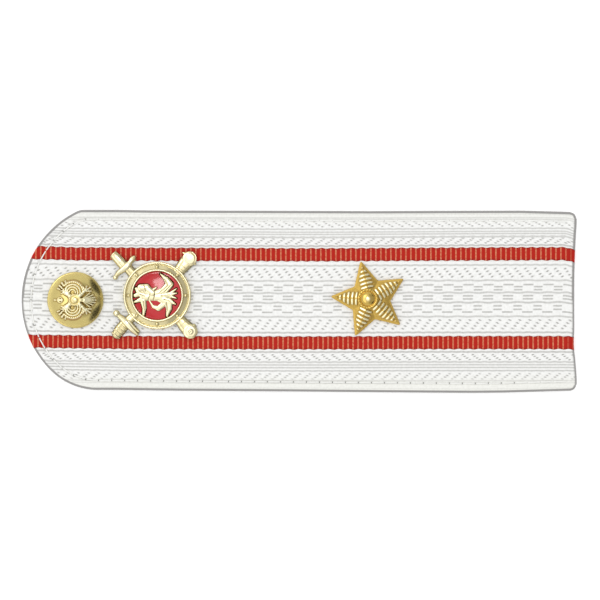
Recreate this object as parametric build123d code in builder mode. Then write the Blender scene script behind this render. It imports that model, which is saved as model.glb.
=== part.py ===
from build123d import *
import os
from collections import namedtuple
from math import asin, cos, pi, radians, sin, sqrt, tan

# Shoulder board, lying with its woven face up. All lengths are in millimetres.
# +X runs from the button end to the straight end, +Y to the upper long edge,
# and the flat underside lies on Z = 0.

# Stiffened woven board
board_length = 140.0
board_width = 45.5
board_thickness = 3.0
round_end_ease = 1.85  # how much the round end's radius exceeds half the width
round_end_rise = 0.55  # how far the round end's centre lies above the middle line
lower_edge_bow = 0.6
straight_end_hollow = 0.9
corner_radius = 1.6
shoulder_radius = 4.0
face_edge_radius = 1.0
under_edge_radius = 0.6

# Ribbon: its middle line, the woven lines, the topstitch channel and the red stripes
ribbon_rise = 0.7
line_width = 0.36
line_depth = 0.12
stitch_inset = 2.35
stitch_width = 0.7
stitch_depth = 0.22
stitch_end_gap = 3.0
stripe_offset = 11.17
stripe_width = 3.3
stripe_depth = 0.6

# Clearances
stripe_gap = 0.05
seat_gap = 0.05
post_gap = 0.08

# Posts behind the fittings, with flat heads let into the underside
post_radius = 0.9
head_radius = 2.0
head_thickness = 0.6
socket_depth = 0.6

# Button
button_from_end = 13.5  # to its centre, from the round end
button_y = 0.25
button_radius = 7.1
button_height = 3.6
button_wall = 0.6
button_rim = 0.35
button_relief = 0.35
back_thickness = 0.8

# Emblem
emblem_from_button = 20.7
emblem_y = 1.4
ring_radius = 8.55
ring_bead = 0.85
inner_bead = 0.65
enamel_radius = 6.05
enamel_thickness = 0.55
floor_height = 0.9
channel_low = 0.8  # at the outer bead, rising to channel_high at the inner one
channel_high = 1.45
outer_bead_height = 1.3
inner_bead_height = 1.75
arm_height = 1.15
rivet_circle = 7.2
rivet_radius = 0.42
rivet_height = 1.45
rivet_count = 8
figure_height = 1.85

# Star
star_from_end = 51.9  # to its centre, from the straight end
star_y = 0.4
star_radius = 9.8
star_notch_radius = 5.13
star_turn = 175.8
star_points = 5
star_edge = 0.5
star_ridge = 2.3
star_crown_share = 0.12
star_wall = 0.5
star_border = 0.7
rib_height = 0.16
rib_width = 0.5
rib_pitch = 1.02
rib_start = 2.95
rib_count = 6
rib_valley = 0.5
hub_radius = 2.75
hub_height = 2.15
boss_radius = 1.7
hub_dome_radius = 1.5
hub_dome_height = 0.95
hub_dome_round = 0.85
hub_beads = 18
hub_bead_radius = 0.26
hub_bead_top = 0.12
hub_bead_height = 0.2
hub_bead_inset = 0.4

# Woven lines on each side of the ribbon's middle line, as shares of half the width
woven_lines = [0.052, 0.201, 0.374, 0.590, 0.730, 0.789]

# A limb is a tapered bar with round ends. Places and radii are shares of a named radius,
# and rise is a share of the relief's height.
Limb = namedtuple("Limb", "x0 y0 r0 x1 y1 r1 rise")

# Crossed weapons behind the ring, as shares of ring_radius: two hilts on the button side,
# and two scabbard ends on the other
arms = [
    Limb(-0.60, 0.60, 0.135, -0.86, 0.84, 0.135, 1.00),  # straight grip
    Limb(-0.86, 0.84, 0.130, -1.24, 1.17, 0.115, 0.95),
    Limb(-1.20, 1.09, 0.050, -1.33, 1.17, 0.055, 0.90),  # pommel
    Limb(-1.12, 1.17, 0.050, -1.22, 1.24, 0.050, 0.90),
    Limb(-0.86, 0.86, 0.100, -0.67, 1.09, 0.055, 0.90),  # its guard
    Limb(-0.67, 1.09, 0.055, -0.63, 1.14, 0.085, 0.90),
    Limb(-0.88, 0.85, 0.100, -1.10, 0.69, 0.085, 0.90),
    Limb(-1.10, 0.69, 0.085, -1.22, 0.61, 0.060, 0.90),
    Limb(-1.22, 0.61, 0.060, -1.22, 0.51, 0.070, 0.90),
    Limb(-0.60, -0.57, 0.140, -0.83, -0.76, 0.140, 1.00),  # sabre grip
    Limb(-0.83, -0.76, 0.140, -1.04, -1.00, 0.170, 1.00),
    Limb(-1.04, -1.00, 0.170, -1.18, -1.17, 0.125, 1.00),
    Limb(-0.85, -0.80, 0.080, -1.00, -0.70, 0.050, 0.85),  # its guard
    Limb(-1.00, -0.70, 0.050, -1.19, -0.56, 0.095, 0.95),
    Limb(-0.85, -0.80, 0.080, -0.74, -1.00, 0.085, 0.85),
    Limb(-0.74, -1.00, 0.085, -0.61, -1.14, 0.040, 0.85),
    Limb(0.60, 0.64, 0.160, 0.74, 0.85, 0.155, 0.90),  # upper scabbard end
    Limb(0.74, 0.85, 0.155, 0.95, 1.09, 0.215, 1.00),
    Limb(0.90, 1.20, 0.090, 0.77, 1.24, 0.040, 0.80),
    Limb(1.05, 1.00, 0.090, 1.14, 0.95, 0.045, 0.80),
    Limb(0.60, -0.66, 0.150, 0.72, -0.80, 0.150, 0.90),  # lower scabbard end
    Limb(0.72, -0.80, 0.150, 0.97, -1.07, 0.225, 1.00),
    Limb(1.08, -0.98, 0.090, 1.17, -0.90, 0.055, 0.80),
]

# Rider on a rearing horse with a blown cloak, heads towards the button, as shares of
# enamel_radius
rider = [
    Limb(-0.58, -0.05, 0.130, 0.10, -0.03, 0.130, 0.85),  # horse's barrel
    Limb(-0.58, 0.05, 0.110, -0.80, 0.14, 0.080, 0.80),  # neck and head
    Limb(-0.80, 0.14, 0.080, -0.83, 0.36, 0.060, 0.80),
    Limb(-0.80, -0.02, 0.060, -0.60, -0.05, 0.080, 0.70),  # fore legs
    Limb(-0.60, -0.14, 0.070, -0.88, -0.26, 0.035, 0.70),
    Limb(-0.60, -0.20, 0.080, -0.55, -0.70, 0.050, 0.75),
    Limb(0.10, -0.05, 0.120, 0.32, -0.30, 0.080, 0.75),  # hind legs
    Limb(0.32, -0.30, 0.080, 0.10, -0.47, 0.070, 0.70),
    Limb(0.32, -0.30, 0.080, 0.40, -0.72, 0.050, 0.70),
    Limb(-0.20, 0.10, 0.120, -0.42, 0.30, 0.120, 1.00),  # rider's body and head
    Limb(-0.46, 0.33, 0.120, -0.62, 0.33, 0.100, 1.00),
    Limb(-0.36, 0.32, 0.060, -0.12, 0.46, 0.045, 0.90),  # arm
    Limb(-0.12, 0.12, 0.080, 0.34, 0.32, 0.110, 0.80),  # cloak
    Limb(0.34, 0.32, 0.110, 0.50, 0.54, 0.100, 0.80),
    Limb(0.50, 0.54, 0.100, 0.14, 0.84, 0.040, 0.80),
    Limb(0.10, 0.00, 0.080, 0.72, 0.12, 0.040, 0.75),  # tail
    Limb(0.24, -0.06, 0.080, 0.70, -0.16, 0.040, 0.75),
]

# One half of a spread eagle with its heads towards -X, as shares of button_radius.
# The other half is its mirror image across the X axis.
eagle_half = [
    Limb(-0.34, 0.00, 0.120, 0.20, 0.00, 0.170, 1.00),  # body
    Limb(-0.24, 0.08, 0.060, -0.44, 0.20, 0.055, 0.90),  # neck and head
    Limb(-0.44, 0.20, 0.060, -0.38, 0.32, 0.030, 0.90),
    Limb(-0.12, 0.12, 0.070, -0.16, 0.42, 0.065, 0.80),  # wing's leading bone
    Limb(-0.16, 0.42, 0.065, -0.46, 0.50, 0.045, 0.80),
    Limb(-0.12, 0.30, 0.040, 0.02, 0.60, 0.040, 0.70),  # feathers
    Limb(-0.02, 0.26, 0.040, 0.14, 0.52, 0.040, 0.70),
    Limb(0.06, 0.20, 0.040, 0.24, 0.42, 0.040, 0.70),
    Limb(-0.22, 0.44, 0.040, -0.14, 0.66, 0.040, 0.70),
    Limb(-0.34, 0.48, 0.040, -0.32, 0.66, 0.035, 0.70),
    Limb(0.20, 0.10, 0.045, 0.40, 0.34, 0.050, 0.80),  # leg
    Limb(0.24, 0.02, 0.050, 0.62, 0.05, 0.040, 0.70),  # tail
    Limb(0.24, 0.04, 0.040, 0.58, 0.16, 0.040, 0.70),
]

half_length = board_length / 2
half_width = board_width / 2
face_height = board_thickness + seat_gap
round_end_radius = half_width + round_end_ease
end_centre_x = round_end_radius - half_length
button_x = button_from_end - half_length
emblem_x = button_x + emblem_from_button
star_x = half_length - star_from_end


def round_end_x(y):
    """Where the round end's arc crosses a line of constant Y."""
    return end_centre_x - sqrt(round_end_radius**2 - (y - round_end_rise) ** 2)


def outline(inset=0.0):
    """The board's outline from above, drawn in by an inset."""
    lower_start = -half_width + lower_edge_bow
    upper_left = (round_end_x(half_width), half_width)
    lower_left = (round_end_x(lower_start), lower_start)
    upper_right = (half_length, half_width)
    lower_right = (half_length, lower_start)
    with BuildSketch() as drawn:
        with BuildLine():
            Line(upper_left, upper_right)
            ThreePointArc(upper_right, (half_length - straight_end_hollow, 0), lower_right)
            ThreePointArc(lower_right, (0, -half_width), lower_left)
            ThreePointArc(lower_left, (-half_length, round_end_rise), upper_left)
        make_face()
        fillet(drawn.vertices().sort_by(Axis.X)[2:], radius=corner_radius)
        fillet(drawn.vertices().sort_by(Axis.X)[:2], radius=shoulder_radius)
        if inset:
            offset(amount=-inset, mode=Mode.REPLACE)
    return drawn.sketch


def draw_limbs(limbs, scale, growth=0.0):
    """Draws the limbs into the sketch that calls it: two circles and their tangents each."""
    shapes = []
    for limb in limbs:
        start = Vector(limb.x0, limb.y0) * scale
        end = Vector(limb.x1, limb.y1) * scale
        start_radius = limb.r0 * scale + growth
        end_radius = limb.r1 * scale + growth
        along = (end - start).normalized()
        lean = (start_radius - end_radius) / (end - start).length
        across = along.rotate(Axis.Z, 90) * sqrt(1 - lean**2)
        left = along * lean + across
        right = along * lean - across
        shapes.append(Pos(start) * Circle(start_radius, mode=Mode.PRIVATE))
        shapes.append(Pos(end) * Circle(end_radius, mode=Mode.PRIVATE))
        corners = [
            start + left * start_radius,
            start + right * start_radius,
            end + right * end_radius,
            end + left * end_radius,
        ]
        shapes.append(Polygon(*corners, align=None, mode=Mode.PRIVATE))
    add(shapes)


def mirrored(limbs):
    """The limbs and their mirror images across the X axis."""
    return limbs + [limb._replace(y0=-limb.y0, y1=-limb.y1) for limb in limbs]


def star_outline(share=1.0, inset=0.0):
    """The star from above, scaled by a share and then drawn in by an inset."""
    points = []
    for k in range(2 * star_points):
        reach = star_notch_radius if k % 2 else star_radius
        angle = radians(star_turn + 180 * k / star_points)
        points.append((share * reach * cos(angle), share * reach * sin(angle)))
    with BuildSketch() as drawn:
        Polygon(*points, align=None)
        if inset:
            offset(amount=-inset, kind=Kind.INTERSECTION, mode=Mode.REPLACE)
    return drawn.sketch


def post(x, y, height):
    """A headed post that stands on the underside, up to a height."""
    with BuildPart() as made:
        with BuildSketch(Plane((x, y, 0))):
            Circle(head_radius)
        extrude(amount=head_thickness)
        with BuildSketch(Plane((x, y, head_thickness))):
            Circle(post_radius)
        extrude(amount=height - head_thickness)
    return made.part


# The whole woven body before the stripes are parted from it
with BuildPart() as blank:
    with BuildSketch():
        add(outline())
    extrude(amount=board_thickness)
    fillet(blank.faces().sort_by(Axis.Z)[-1].edges(), radius=face_edge_radius)
    fillet(blank.faces().sort_by(Axis.Z)[0].edges(), radius=under_edge_radius)
    with BuildSketch(Plane.XY.offset(board_thickness)):
        for share in woven_lines:
            for side in (-1, 1):
                with Locations((0, ribbon_rise + side * share * half_width)):
                    Rectangle(2 * board_length, line_width)
    extrude(amount=-line_depth, mode=Mode.SUBTRACT)
    with BuildSketch(Plane.XY.offset(board_thickness)):
        add(outline(stitch_inset - stitch_width / 2))
        add(outline(stitch_inset + stitch_width / 2), mode=Mode.SUBTRACT)
        with Locations((half_length, 0)):
            Rectangle(2 * stitch_end_gap, 2 * board_width, mode=Mode.SUBTRACT)
    extrude(amount=-stitch_depth, mode=Mode.SUBTRACT)


def stripe_band(side, depth, growth):
    """The layer that a red stripe takes up: over the face and down both ends."""
    with BuildPart() as band:
        with BuildSketch(Plane.XY.offset(-board_thickness)):
            with Locations((0, ribbon_rise + side * stripe_offset)):
                Rectangle(2 * board_length, stripe_width + 2 * growth)
        extrude(amount=3 * board_thickness)
        with BuildSketch(Plane.XY.offset(-board_thickness)):
            add(outline(depth))
        extrude(amount=2 * board_thickness - depth, mode=Mode.SUBTRACT)
    return band.part


fittings = [(button_x, button_y), (emblem_x, emblem_y), (star_x, star_y)]

with BuildPart() as board:
    add(blank.part)
    for side in (-1, 1):
        add(stripe_band(side, stripe_depth + stripe_gap, stripe_gap), mode=Mode.SUBTRACT)
    with BuildSketch():
        with Locations(*fittings):
            Circle(head_radius + post_gap)
    extrude(amount=head_thickness + post_gap, mode=Mode.SUBTRACT)
    with BuildSketch():
        with Locations(*fittings):
            Circle(post_radius + post_gap)
    extrude(amount=2 * board_thickness, mode=Mode.SUBTRACT)

with BuildPart() as red_stripe_upper:
    add(blank.part)
    add(stripe_band(1, stripe_depth, 0), mode=Mode.INTERSECT)

with BuildPart() as red_stripe_lower:
    add(blank.part)
    add(stripe_band(-1, stripe_depth, 0), mode=Mode.INTERSECT)

# Button: a hollow dome with a rolled rim, closed by a back plate on its post
dome_foot_radius = button_radius - button_rim
dome_foot_height = 2 * button_rim
dome_rise = button_height - dome_foot_height
dome_radius = (dome_foot_radius**2 + dome_rise**2) / (2 * dome_rise)
dome_centre = button_height - dome_radius
back_rim_radius = sqrt((dome_radius - button_wall) ** 2 - (back_thickness - dome_centre) ** 2)


def dome(radius, growth):
    """Half of a dome's section: radius is its foot's, and growth lifts its curve."""
    reach = dome_radius + growth
    lean = asin(radius / reach) / 2
    foot = (radius, dome_centre + sqrt(reach**2 - radius**2))
    middle = (reach * sin(lean), dome_centre + reach * cos(lean))
    crown = (0, dome_centre + reach)
    with BuildSketch() as section:
        with BuildLine():
            Line((0, 0), (radius, 0))
            Line((radius, 0), foot)
            ThreePointArc(foot, middle, crown)
            Line(crown, (0, 0))
        make_face()
    return section.sketch


button_plane = Plane((button_x, button_y, face_height))
button_section = Plane(button_plane.origin, x_dir=(1, 0, 0), z_dir=(0, -1, 0))
button_axis = Axis(button_plane.origin, (0, 0, 1))

with BuildPart() as relief:
    with BuildSketch(button_section):
        add(dome(dome_foot_radius - button_rim, button_relief))
    revolve(axis=button_axis)
    with BuildSketch(button_plane):
        draw_limbs(mirrored(eagle_half), button_radius)
    extrude(amount=2 * button_height, mode=Mode.INTERSECT)

with BuildPart() as button_cap:
    with BuildSketch(button_section):
        add(dome(dome_foot_radius, 0))
        with Locations((dome_foot_radius, button_rim)):
            Circle(button_rim)
    revolve(axis=button_axis)
    add(relief.part)
    with BuildSketch(button_section):
        add(dome(dome_foot_radius - button_wall, -button_wall))
    revolve(axis=button_axis, mode=Mode.SUBTRACT)

with BuildPart() as button_post:
    add(post(button_x, button_y, face_height + back_thickness))
    with BuildSketch(button_plane):
        Circle(min(back_rim_radius, dome_foot_radius - button_wall) - seat_gap)
    extrude(amount=back_thickness)

# Emblem: one casting, with the enamel laid round the raised figure
emblem_plane = Plane((emblem_x, emblem_y, face_height))
emblem_section = Plane(emblem_plane.origin, x_dir=(1, 0, 0), z_dir=(0, -1, 0))

with BuildPart() as emblem_body:
    for rise in sorted({limb.rise for limb in arms}):
        with BuildSketch(emblem_plane):
            draw_limbs([limb for limb in arms if limb.rise == rise], ring_radius)
        extrude(amount=rise * arm_height)
    with BuildSketch(emblem_plane):
        Circle(ring_radius - ring_bead / 2)
    extrude(amount=2 * arm_height, mode=Mode.SUBTRACT)
    with BuildSketch(emblem_section):
        inner_edge = enamel_radius + seat_gap
        channel_outer = ring_radius - ring_bead
        channel_inner = inner_edge + inner_bead
        outer_shelf = (outer_bead_height + channel_low) / 2
        with BuildLine():
            Line((0, 0), (ring_radius, 0))
            Line((ring_radius, 0), (ring_radius, outer_shelf))
            ThreePointArc(
                (ring_radius, outer_shelf),
                (ring_radius - ring_bead / 2, outer_bead_height),
                (channel_outer, outer_shelf),
            )
            Line((channel_outer, outer_shelf), (channel_outer, channel_low))
            Line((channel_outer, channel_low), (channel_inner, channel_high))
            ThreePointArc(
                (channel_inner, channel_high),
                (inner_edge + inner_bead / 2, inner_bead_height),
                (inner_edge, channel_high),
            )
            Line((inner_edge, channel_high), (inner_edge, floor_height))
            Line((inner_edge, floor_height), (0, floor_height))
            Line((0, floor_height), (0, 0))
        make_face()
    revolve(axis=Axis(emblem_plane.origin, (0, 0, 1)))
    with BuildSketch(emblem_plane):
        with PolarLocations(rivet_circle, rivet_count):
            Circle(rivet_radius)
    extrude(amount=rivet_height)
    for rise in sorted({limb.rise for limb in rider}):
        with BuildSketch(emblem_plane):
            draw_limbs([limb for limb in rider if limb.rise == rise], enamel_radius)
        extrude(amount=floor_height + rise * (figure_height - floor_height))
    with BuildSketch(emblem_plane):
        Circle(post_radius + post_gap)
    extrude(amount=socket_depth, mode=Mode.SUBTRACT)

with BuildPart() as emblem_enamel:
    with BuildSketch(emblem_plane.offset(floor_height + seat_gap)):
        Circle(enamel_radius)
    extrude(amount=enamel_thickness)
    with BuildSketch(emblem_plane):
        draw_limbs(rider, enamel_radius, growth=seat_gap)
    extrude(amount=2 * figure_height, mode=Mode.SUBTRACT)

# Star: a stamped shell with ribbed arms and a beaded hub, on a boss for its post
star_plane = Plane((star_x, star_y, face_height))

with BuildPart() as star_ribs:
    with BuildSketch(star_plane.offset(star_edge + rib_height)):
        add(star_outline())
    with BuildSketch(star_plane.offset(star_ridge + rib_height)):
        add(star_outline(star_crown_share))
    loft(ruled=True)
    with BuildSketch(star_plane):
        for k in range(rib_count):
            reach = rib_start + k * rib_pitch
            with PolarLocations(0, star_points, start_angle=star_turn):
                with Locations((reach, 0)):
                    Rectangle(rib_width, 2 * reach * tan(pi / star_points) - rib_valley)
        add(star_outline(inset=star_border), mode=Mode.INTERSECT)
    extrude(amount=2 * star_ridge, mode=Mode.INTERSECT)

with BuildPart() as star:
    with BuildSketch(star_plane):
        add(star_outline())
    extrude(amount=star_edge)
    with BuildSketch(star_plane.offset(star_edge)):
        add(star_outline())
    with BuildSketch(star_plane.offset(star_ridge)):
        add(star_outline(star_crown_share))
    loft(ruled=True)
    add(star_ribs.part)
    with BuildSketch(star_plane):
        Circle(hub_radius)
    extrude(amount=hub_height)
    with BuildSketch(star_plane.offset(star_edge - star_wall)):
        add(star_outline(inset=star_wall))
    with BuildSketch(star_plane.offset(star_ridge - 2 * star_wall)):
        add(star_outline(star_crown_share))
    loft(ruled=True, mode=Mode.SUBTRACT)
    with BuildSketch(star_plane):
        Circle(boss_radius)
    extrude(amount=hub_height)
    with BuildSketch(star_plane.offset(hub_height)):
        Circle(hub_dome_radius)
    extrude(amount=hub_dome_height)
    fillet(star.faces().sort_by(Axis.Z)[-1].edges(), radius=hub_dome_round)
    with Locations(star_plane.offset(hub_height)):
        with PolarLocations(hub_radius - hub_bead_inset, hub_beads):
            Cone(hub_bead_radius, hub_bead_top, 2 * hub_bead_height)
    with BuildSketch(star_plane):
        Circle(post_radius + post_gap)
    extrude(amount=socket_depth, mode=Mode.SUBTRACT)

pieces = {
    "board": board.part,
    "red_stripe_upper": red_stripe_upper.part,
    "red_stripe_lower": red_stripe_lower.part,
    "button_cap": button_cap.part,
    "button_post": button_post.part,
    "emblem_body": emblem_body.part,
    "emblem_enamel": emblem_enamel.part,
    "emblem_post": post(emblem_x, emblem_y, face_height + socket_depth - seat_gap),
    "star": star.part,
    "star_post": post(star_x, star_y, face_height + socket_depth - seat_gap),
}

os.makedirs("parts", exist_ok=True)
for name, piece in pieces.items():
    piece.label = name
    export_step(piece, f"parts/{name}.step")
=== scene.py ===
import math
from collections import namedtuple

import bpy
import numpy as np
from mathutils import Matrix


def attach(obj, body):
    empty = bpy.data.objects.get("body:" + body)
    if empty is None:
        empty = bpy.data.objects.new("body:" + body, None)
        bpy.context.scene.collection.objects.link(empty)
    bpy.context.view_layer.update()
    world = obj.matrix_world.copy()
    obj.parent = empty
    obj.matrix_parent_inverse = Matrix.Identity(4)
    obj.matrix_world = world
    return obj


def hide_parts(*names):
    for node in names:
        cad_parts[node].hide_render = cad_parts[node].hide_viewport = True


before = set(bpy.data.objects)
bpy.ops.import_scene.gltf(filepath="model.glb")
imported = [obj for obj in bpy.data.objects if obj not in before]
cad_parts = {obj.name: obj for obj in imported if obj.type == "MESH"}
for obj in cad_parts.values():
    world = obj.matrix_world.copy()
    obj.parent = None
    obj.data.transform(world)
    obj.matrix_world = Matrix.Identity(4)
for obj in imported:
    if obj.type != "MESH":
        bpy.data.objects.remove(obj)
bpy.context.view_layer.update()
mm = 0.001


# sRGB hex to the linear colour that a socket takes
def linearColour(hexCode):
    channels = [int(hexCode[k:k + 2], 16) / 255 for k in (1, 3, 5)]
    lit = [c / 12.92 if c <= 0.04045 else ((c + 0.055) / 1.055) ** 2.4 for c in channels]
    return (*lit, 1.0)


# One node with its settings; an input takes a value or another node's output
def addNode(tree, kind, inputs=None, **settings):
    node = tree.nodes.new(kind)
    for name, value in settings.items():
        setattr(node, name, value)
    for name, value in (inputs or {}).items():
        if isinstance(value, bpy.types.NodeSocket):
            tree.links.new(value, node.inputs[name])
        else:
            node.inputs[name].default_value = value
    return node


# A material with one Principled shader, whose even values sit on its own sockets
def startMaterial(name, inputs):
    material = bpy.data.materials.new(name)
    material.use_nodes = True
    tree = material.node_tree
    tree.nodes.clear()
    shader = addNode(tree, "ShaderNodeBsdfPrincipled", inputs)
    addNode(tree, "ShaderNodeOutputMaterial", {"Surface": shader.outputs["BSDF"]})
    return material, tree, shader


# Turns a closed shell's faces outward
def outward(points, faces):
    points = np.asarray(points)
    corners = np.array([(face[0], face[k], face[k + 1]) for face in faces for k in range(1, len(face) - 1)])
    a, b, c = points[corners].transpose(1, 0, 2)
    volume = np.einsum("ij,ij->", a, np.cross(b, c))
    return [face[::-1] for face in faces] if volume < 0 else faces


# Puts a new object in the scene
def addObject(name, data):
    made = bpy.data.objects.new(name, data)
    bpy.context.scene.collection.objects.link(made)
    return made


# A mesh object from points in millimetres, with an optional UV in millimetres and point attributes
def makeObject(name, points, faces, material, across=None, values=None):
    mesh = bpy.data.meshes.new(name)
    mesh.from_pydata((np.asarray(points) * mm).tolist(), [], faces)
    mesh.polygons.foreach_set("use_smooth", [True] * len(mesh.polygons))
    if across is not None:
        corners = np.zeros(len(mesh.loops), dtype=np.int32)
        mesh.loops.foreach_get("vertex_index", corners)
        layer = mesh.uv_layers.new(name="UVMap")
        layer.data.foreach_set("uv", np.asarray(across, dtype=np.float32)[corners].ravel())
    for label, data in (values or {}).items():
        layer = mesh.attributes.new(label, "FLOAT", "POINT")
        layer.data.foreach_set("value", np.asarray(data, dtype=np.float32))
    mesh.materials.append(material)
    mesh.validate()
    return addObject(name, mesh)


# Quads between neighbouring rows of points; a closed row joins its last point to its first
def quadFaces(rowCount, columnCount, closed=True):
    row = np.arange(rowCount - 1)[:, None] * columnCount
    column = np.arange(columnCount if closed else columnCount - 1)[None, :]
    after = (column + 1) % columnCount
    quads = np.stack([row + column, row + after, row + columnCount + after, row + columnCount + column], axis=-1)
    return quads.reshape(-1, 4).tolist()


# The faces of a tube of closed rows, with a cap at both ends
def tubeFaces(rowCount, columnCount):
    last = (rowCount - 1) * columnCount
    caps = [list(range(columnCount))[::-1], list(range(last, last + columnCount))]
    return quadFaces(rowCount, columnCount) + caps


# A setting that differs between the board's upper half (side 1) and its lower one (side -1)
def ofHalf(settings, name, side):
    return settings[name + ("Upper" if side > 0 else "Lower")]


# Lets a finished piece ride on the part, in place of a CAD node
def seat(piece, node):
    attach(piece, "root")
    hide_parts(node)
    print("piece:", piece.name, len(piece.data.polygons), "faces")


# Board: its outline, skin, stitches and rows, in millimetres

board = {
    "left": -70.25,  # the outline's ends and long edges
    "right": 70.65,
    "upper": 22.88,
    "lower": -23.2,
    # The long edges, a little bowed as the photograph shows them
    "lineUpper": [(-46, 23.1), (-36, 22.95), (-16, 22.9), (18, 22.78), (37, 22.85), (56, 22.9),
                  (67, 22.62), (71, 22.45)],
    "lineLower": [(-46, -22.54), (-31, -22.73), (0, -22.94), (22, -23.14), (44, -23.29), (52, -23.21),
                  (60, -22.98), (71, -22.68)],
    "thickness": 3.0,
    "roundEndRadius": 25.1,
    "roundEndRise": 0.2,  # how far the round end's centre lies above the middle line
    "shoulderUpper": 4.0,  # rounding where the long edges meet the round end
    "shoulderLower": 17.0,
    "shoulderBack": 8.0,  # how far left of the round end's centre the long edges begin to turn
    "endHollow": 0.9,
    "endHollowPower": 2.4,
    "endTuck": 0.28,  # how far the lower stripe draws in the straight end, and over what height
    "endTuckHeight": 3.0,
    "cornerRadius": 1.5,
    "cornerDraw": 0.45,  # how far the straight end draws in towards its corners, and from what height
    "cornerDrawFrom": 19,
    "cornerDrawSpan": 4,
    "faceEdge": 1.0,  # rounding of the face's edge
    "underEdge": 0.6,
    "ribbonRise": 0.61,  # the ribbon's middle line above the board's
    "edgeRows": 20.2,  # rows further out than this follow the long edge
    "stitchInset": 2.45,
    "stitchPitch": 3.3,
    "stitchDip": 0.24,
    "stitchDipWidth": 0.42,
    "stitchEndGap": 3.0,
    "holeRadius": 0.24,
    "holeDepth": 0.22,
    "holesUpper": 0.12,  # how open the needle holes still are
    "holesLower": 1.0,
    "holesEnd": 58.0,  # x beyond which they have closed up
    "liningAndEdgeShadeUpper": 0.66,  # how wide the painted edge shade, in the lining's grey, shows round the face
    "liningAndEdgeShadeLower": 0.6,
    "endSag": 0.45,  # how far the rows drop at the straight end, in the middle and at the top
    "endSagTop": 0.9,
    "endSagLength": 3.6,
    "endSagSpan": 18,
    # How far the rows rise along the board, mostly at the round end
    "riseUpper": [(-70, 0.42), (-67, 0.38), (-62, 0.26), (-57, 0.06), (-50, 0.03), (-44, 0), (-34, -0.07),
                  (-14, -0.1), (-3, -0.18), (8, -0.18), (30, -0.05), (41, 0.01), (51, 0.06), (61, 0.09)],
    "riseLower": [(-70, 0.42), (-67, 0.38), (-62, 0.3), (-57, 0.22), (-51, 0.15), (-44, 0.05), (-34, 0),
                  (-14, -0.04), (0, -0.07), (12, -0.05), (31, 0)],
    "riseSpan": 24,  # height over which one table passes into the other
    "riseFade": 4,  # rise and sag fade out this close to the long edges
    "swell": 0.02,  # slow unevenness of the face
    "liningAndEdgeShadeSoft": 0.1,
    "wrap": 2.4,  # how much of the woven pattern runs on down the ends
    # How far in from the board's ends the mesh points lie, on its face and on its underside
    "faceEnds": [0, 0.03, 0.1, 0.22, 0.4, 0.62, 0.85, 1.1],
    "underEnds": [0, 0.08, 0.25, 0.6],
    "underSteps": 40,  # even steps along the underside between them
}
endCentreX = board["left"] + board["roundEndRadius"]
shoulderX = endCentreX - board["shoulderBack"]

ribbon = {
    "repeat": 5.06,  # one brick and its neighbour
    "repeatColumns": 28,  # mesh points along one repeat
    "repeatsLeft": 15,  # whole repeats laid out on either side of the phase
    "repeatsRight": 5,
    "phase": 37.58,  # x of a brick's middle
    "grooveDepth": 0.13,
    "grooveFade": 0.8,  # grooves run out this close to the outline
    "lineHalfWidth": 0.22,
    "dashHalfWidth": 0.25,
    "waveHalfWidth": 0.29,
    "grooveFloor": 0.55,  # a groove's flat floor as a share of its half width
    "dashLong": 2.63,
    "dashShort": 2.17,
    "dashEnd": 0.14,
    "strokeLength": 0.54,
    "centreStroke": 0.54,  # height of a twill stroke in the middle band and in the outer bands
    "outerStroke": 0.4,
    "lineTone": 0.66,
    "strokeTone": 0.9,
    "stripeUpper": 11.25,  # middle lines of the red stripes
    "stripeLower": -11.155,
    "stripeWidth": 3.32,
    "stripeDepth": 0.6,
    "stripeSway": 0.12,
    "swayUpper": 0.21,  # phases of the stripes' wavy edges
    "swayLower": 0.07,
    "channelGap": 0.05,
}

# The woven rows by their distance from the ribbon's middle line. A dash, stroke or wave has its
# phase in shares of the repeat, lean is a stroke's slant, tone is how dark the row looks, and sway
# is how high it waves.
Row = namedtuple("Row", "offset kind phase lean tone sway", defaults=(0.0, 0, 1.0, 0.0))

centreRows = [
    Row(8.47, "ripple", -0.1, tone=0.75, sway=0.06),
    Row(7.53, "stroke", -0.12, 1),
    Row(6.87, "stroke", -0.01, 1),
    Row(6.17, "stroke", 0.12, 1),
    Row(5.53, "stroke", 0.235, 1),
    Row(4.56, "wave", 0.05, tone=0.75, sway=0.08),
    Row(3.48, "dash", 0.048),
    Row(2.97, "shortDash", 0.542),
    Row(2.20, "shortDash", 0.535),
    Row(1.49, "wave", 0.05, tone=0.8, sway=0.1),
    Row(0.68, "dash", 0.028),
    Row(-0.11, "dash", 0.02),
    Row(-0.99, "wave", 0.53, tone=0.85, sway=0.1),
    Row(-1.87, "shortDash", 0.507),
    Row(-2.76, "shortDash", 0.503),
    Row(-3.42, "dash", -0.007),
    Row(-4.55, "wave", 0.52, tone=0.75, sway=0.07),
    Row(-5.45, "stroke", 0.12, -1),
    Row(-6.19, "stroke", 0.0, -1),
    Row(-6.92, "stroke", -0.12, -1),
    Row(-7.58, "stroke", -0.245, -1),
    Row(-8.56, "ripple", 0.03, tone=0.9, sway=0.05),
]
upperRows = [
    Row(20.45, "line", tone=0.45),
    Row(19.93, "line", tone=0.4),
    Row(19.50, "stroke", -0.17, 0, 0.45),
    Row(19.12, "stroke", -0.06, 0, 0.75),
    Row(18.74, "stroke", 0.09, 0, 0.85),
    Row(18.36, "stroke", 0.24, 0, 0.85),
    Row(17.69, "line", 0.05, tone=0.8, sway=0.03),
    Row(16.95, "line", tone=0.75),
    Row(16.38, "line", tone=0.75),
    Row(15.65, "ripple", -0.23, tone=0.75, sway=0.05),
    Row(15.17, "stroke", -0.215, -1, 0.75),
    Row(14.80, "stroke", -0.33, -1, 0.95),
    Row(14.42, "stroke", -0.46, -1, 1.0),
    Row(14.04, "stroke", -0.58, -1, 1.0),
    Row(13.44, "ripple", 0.19, tone=0.95, sway=0.08),
]
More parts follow.
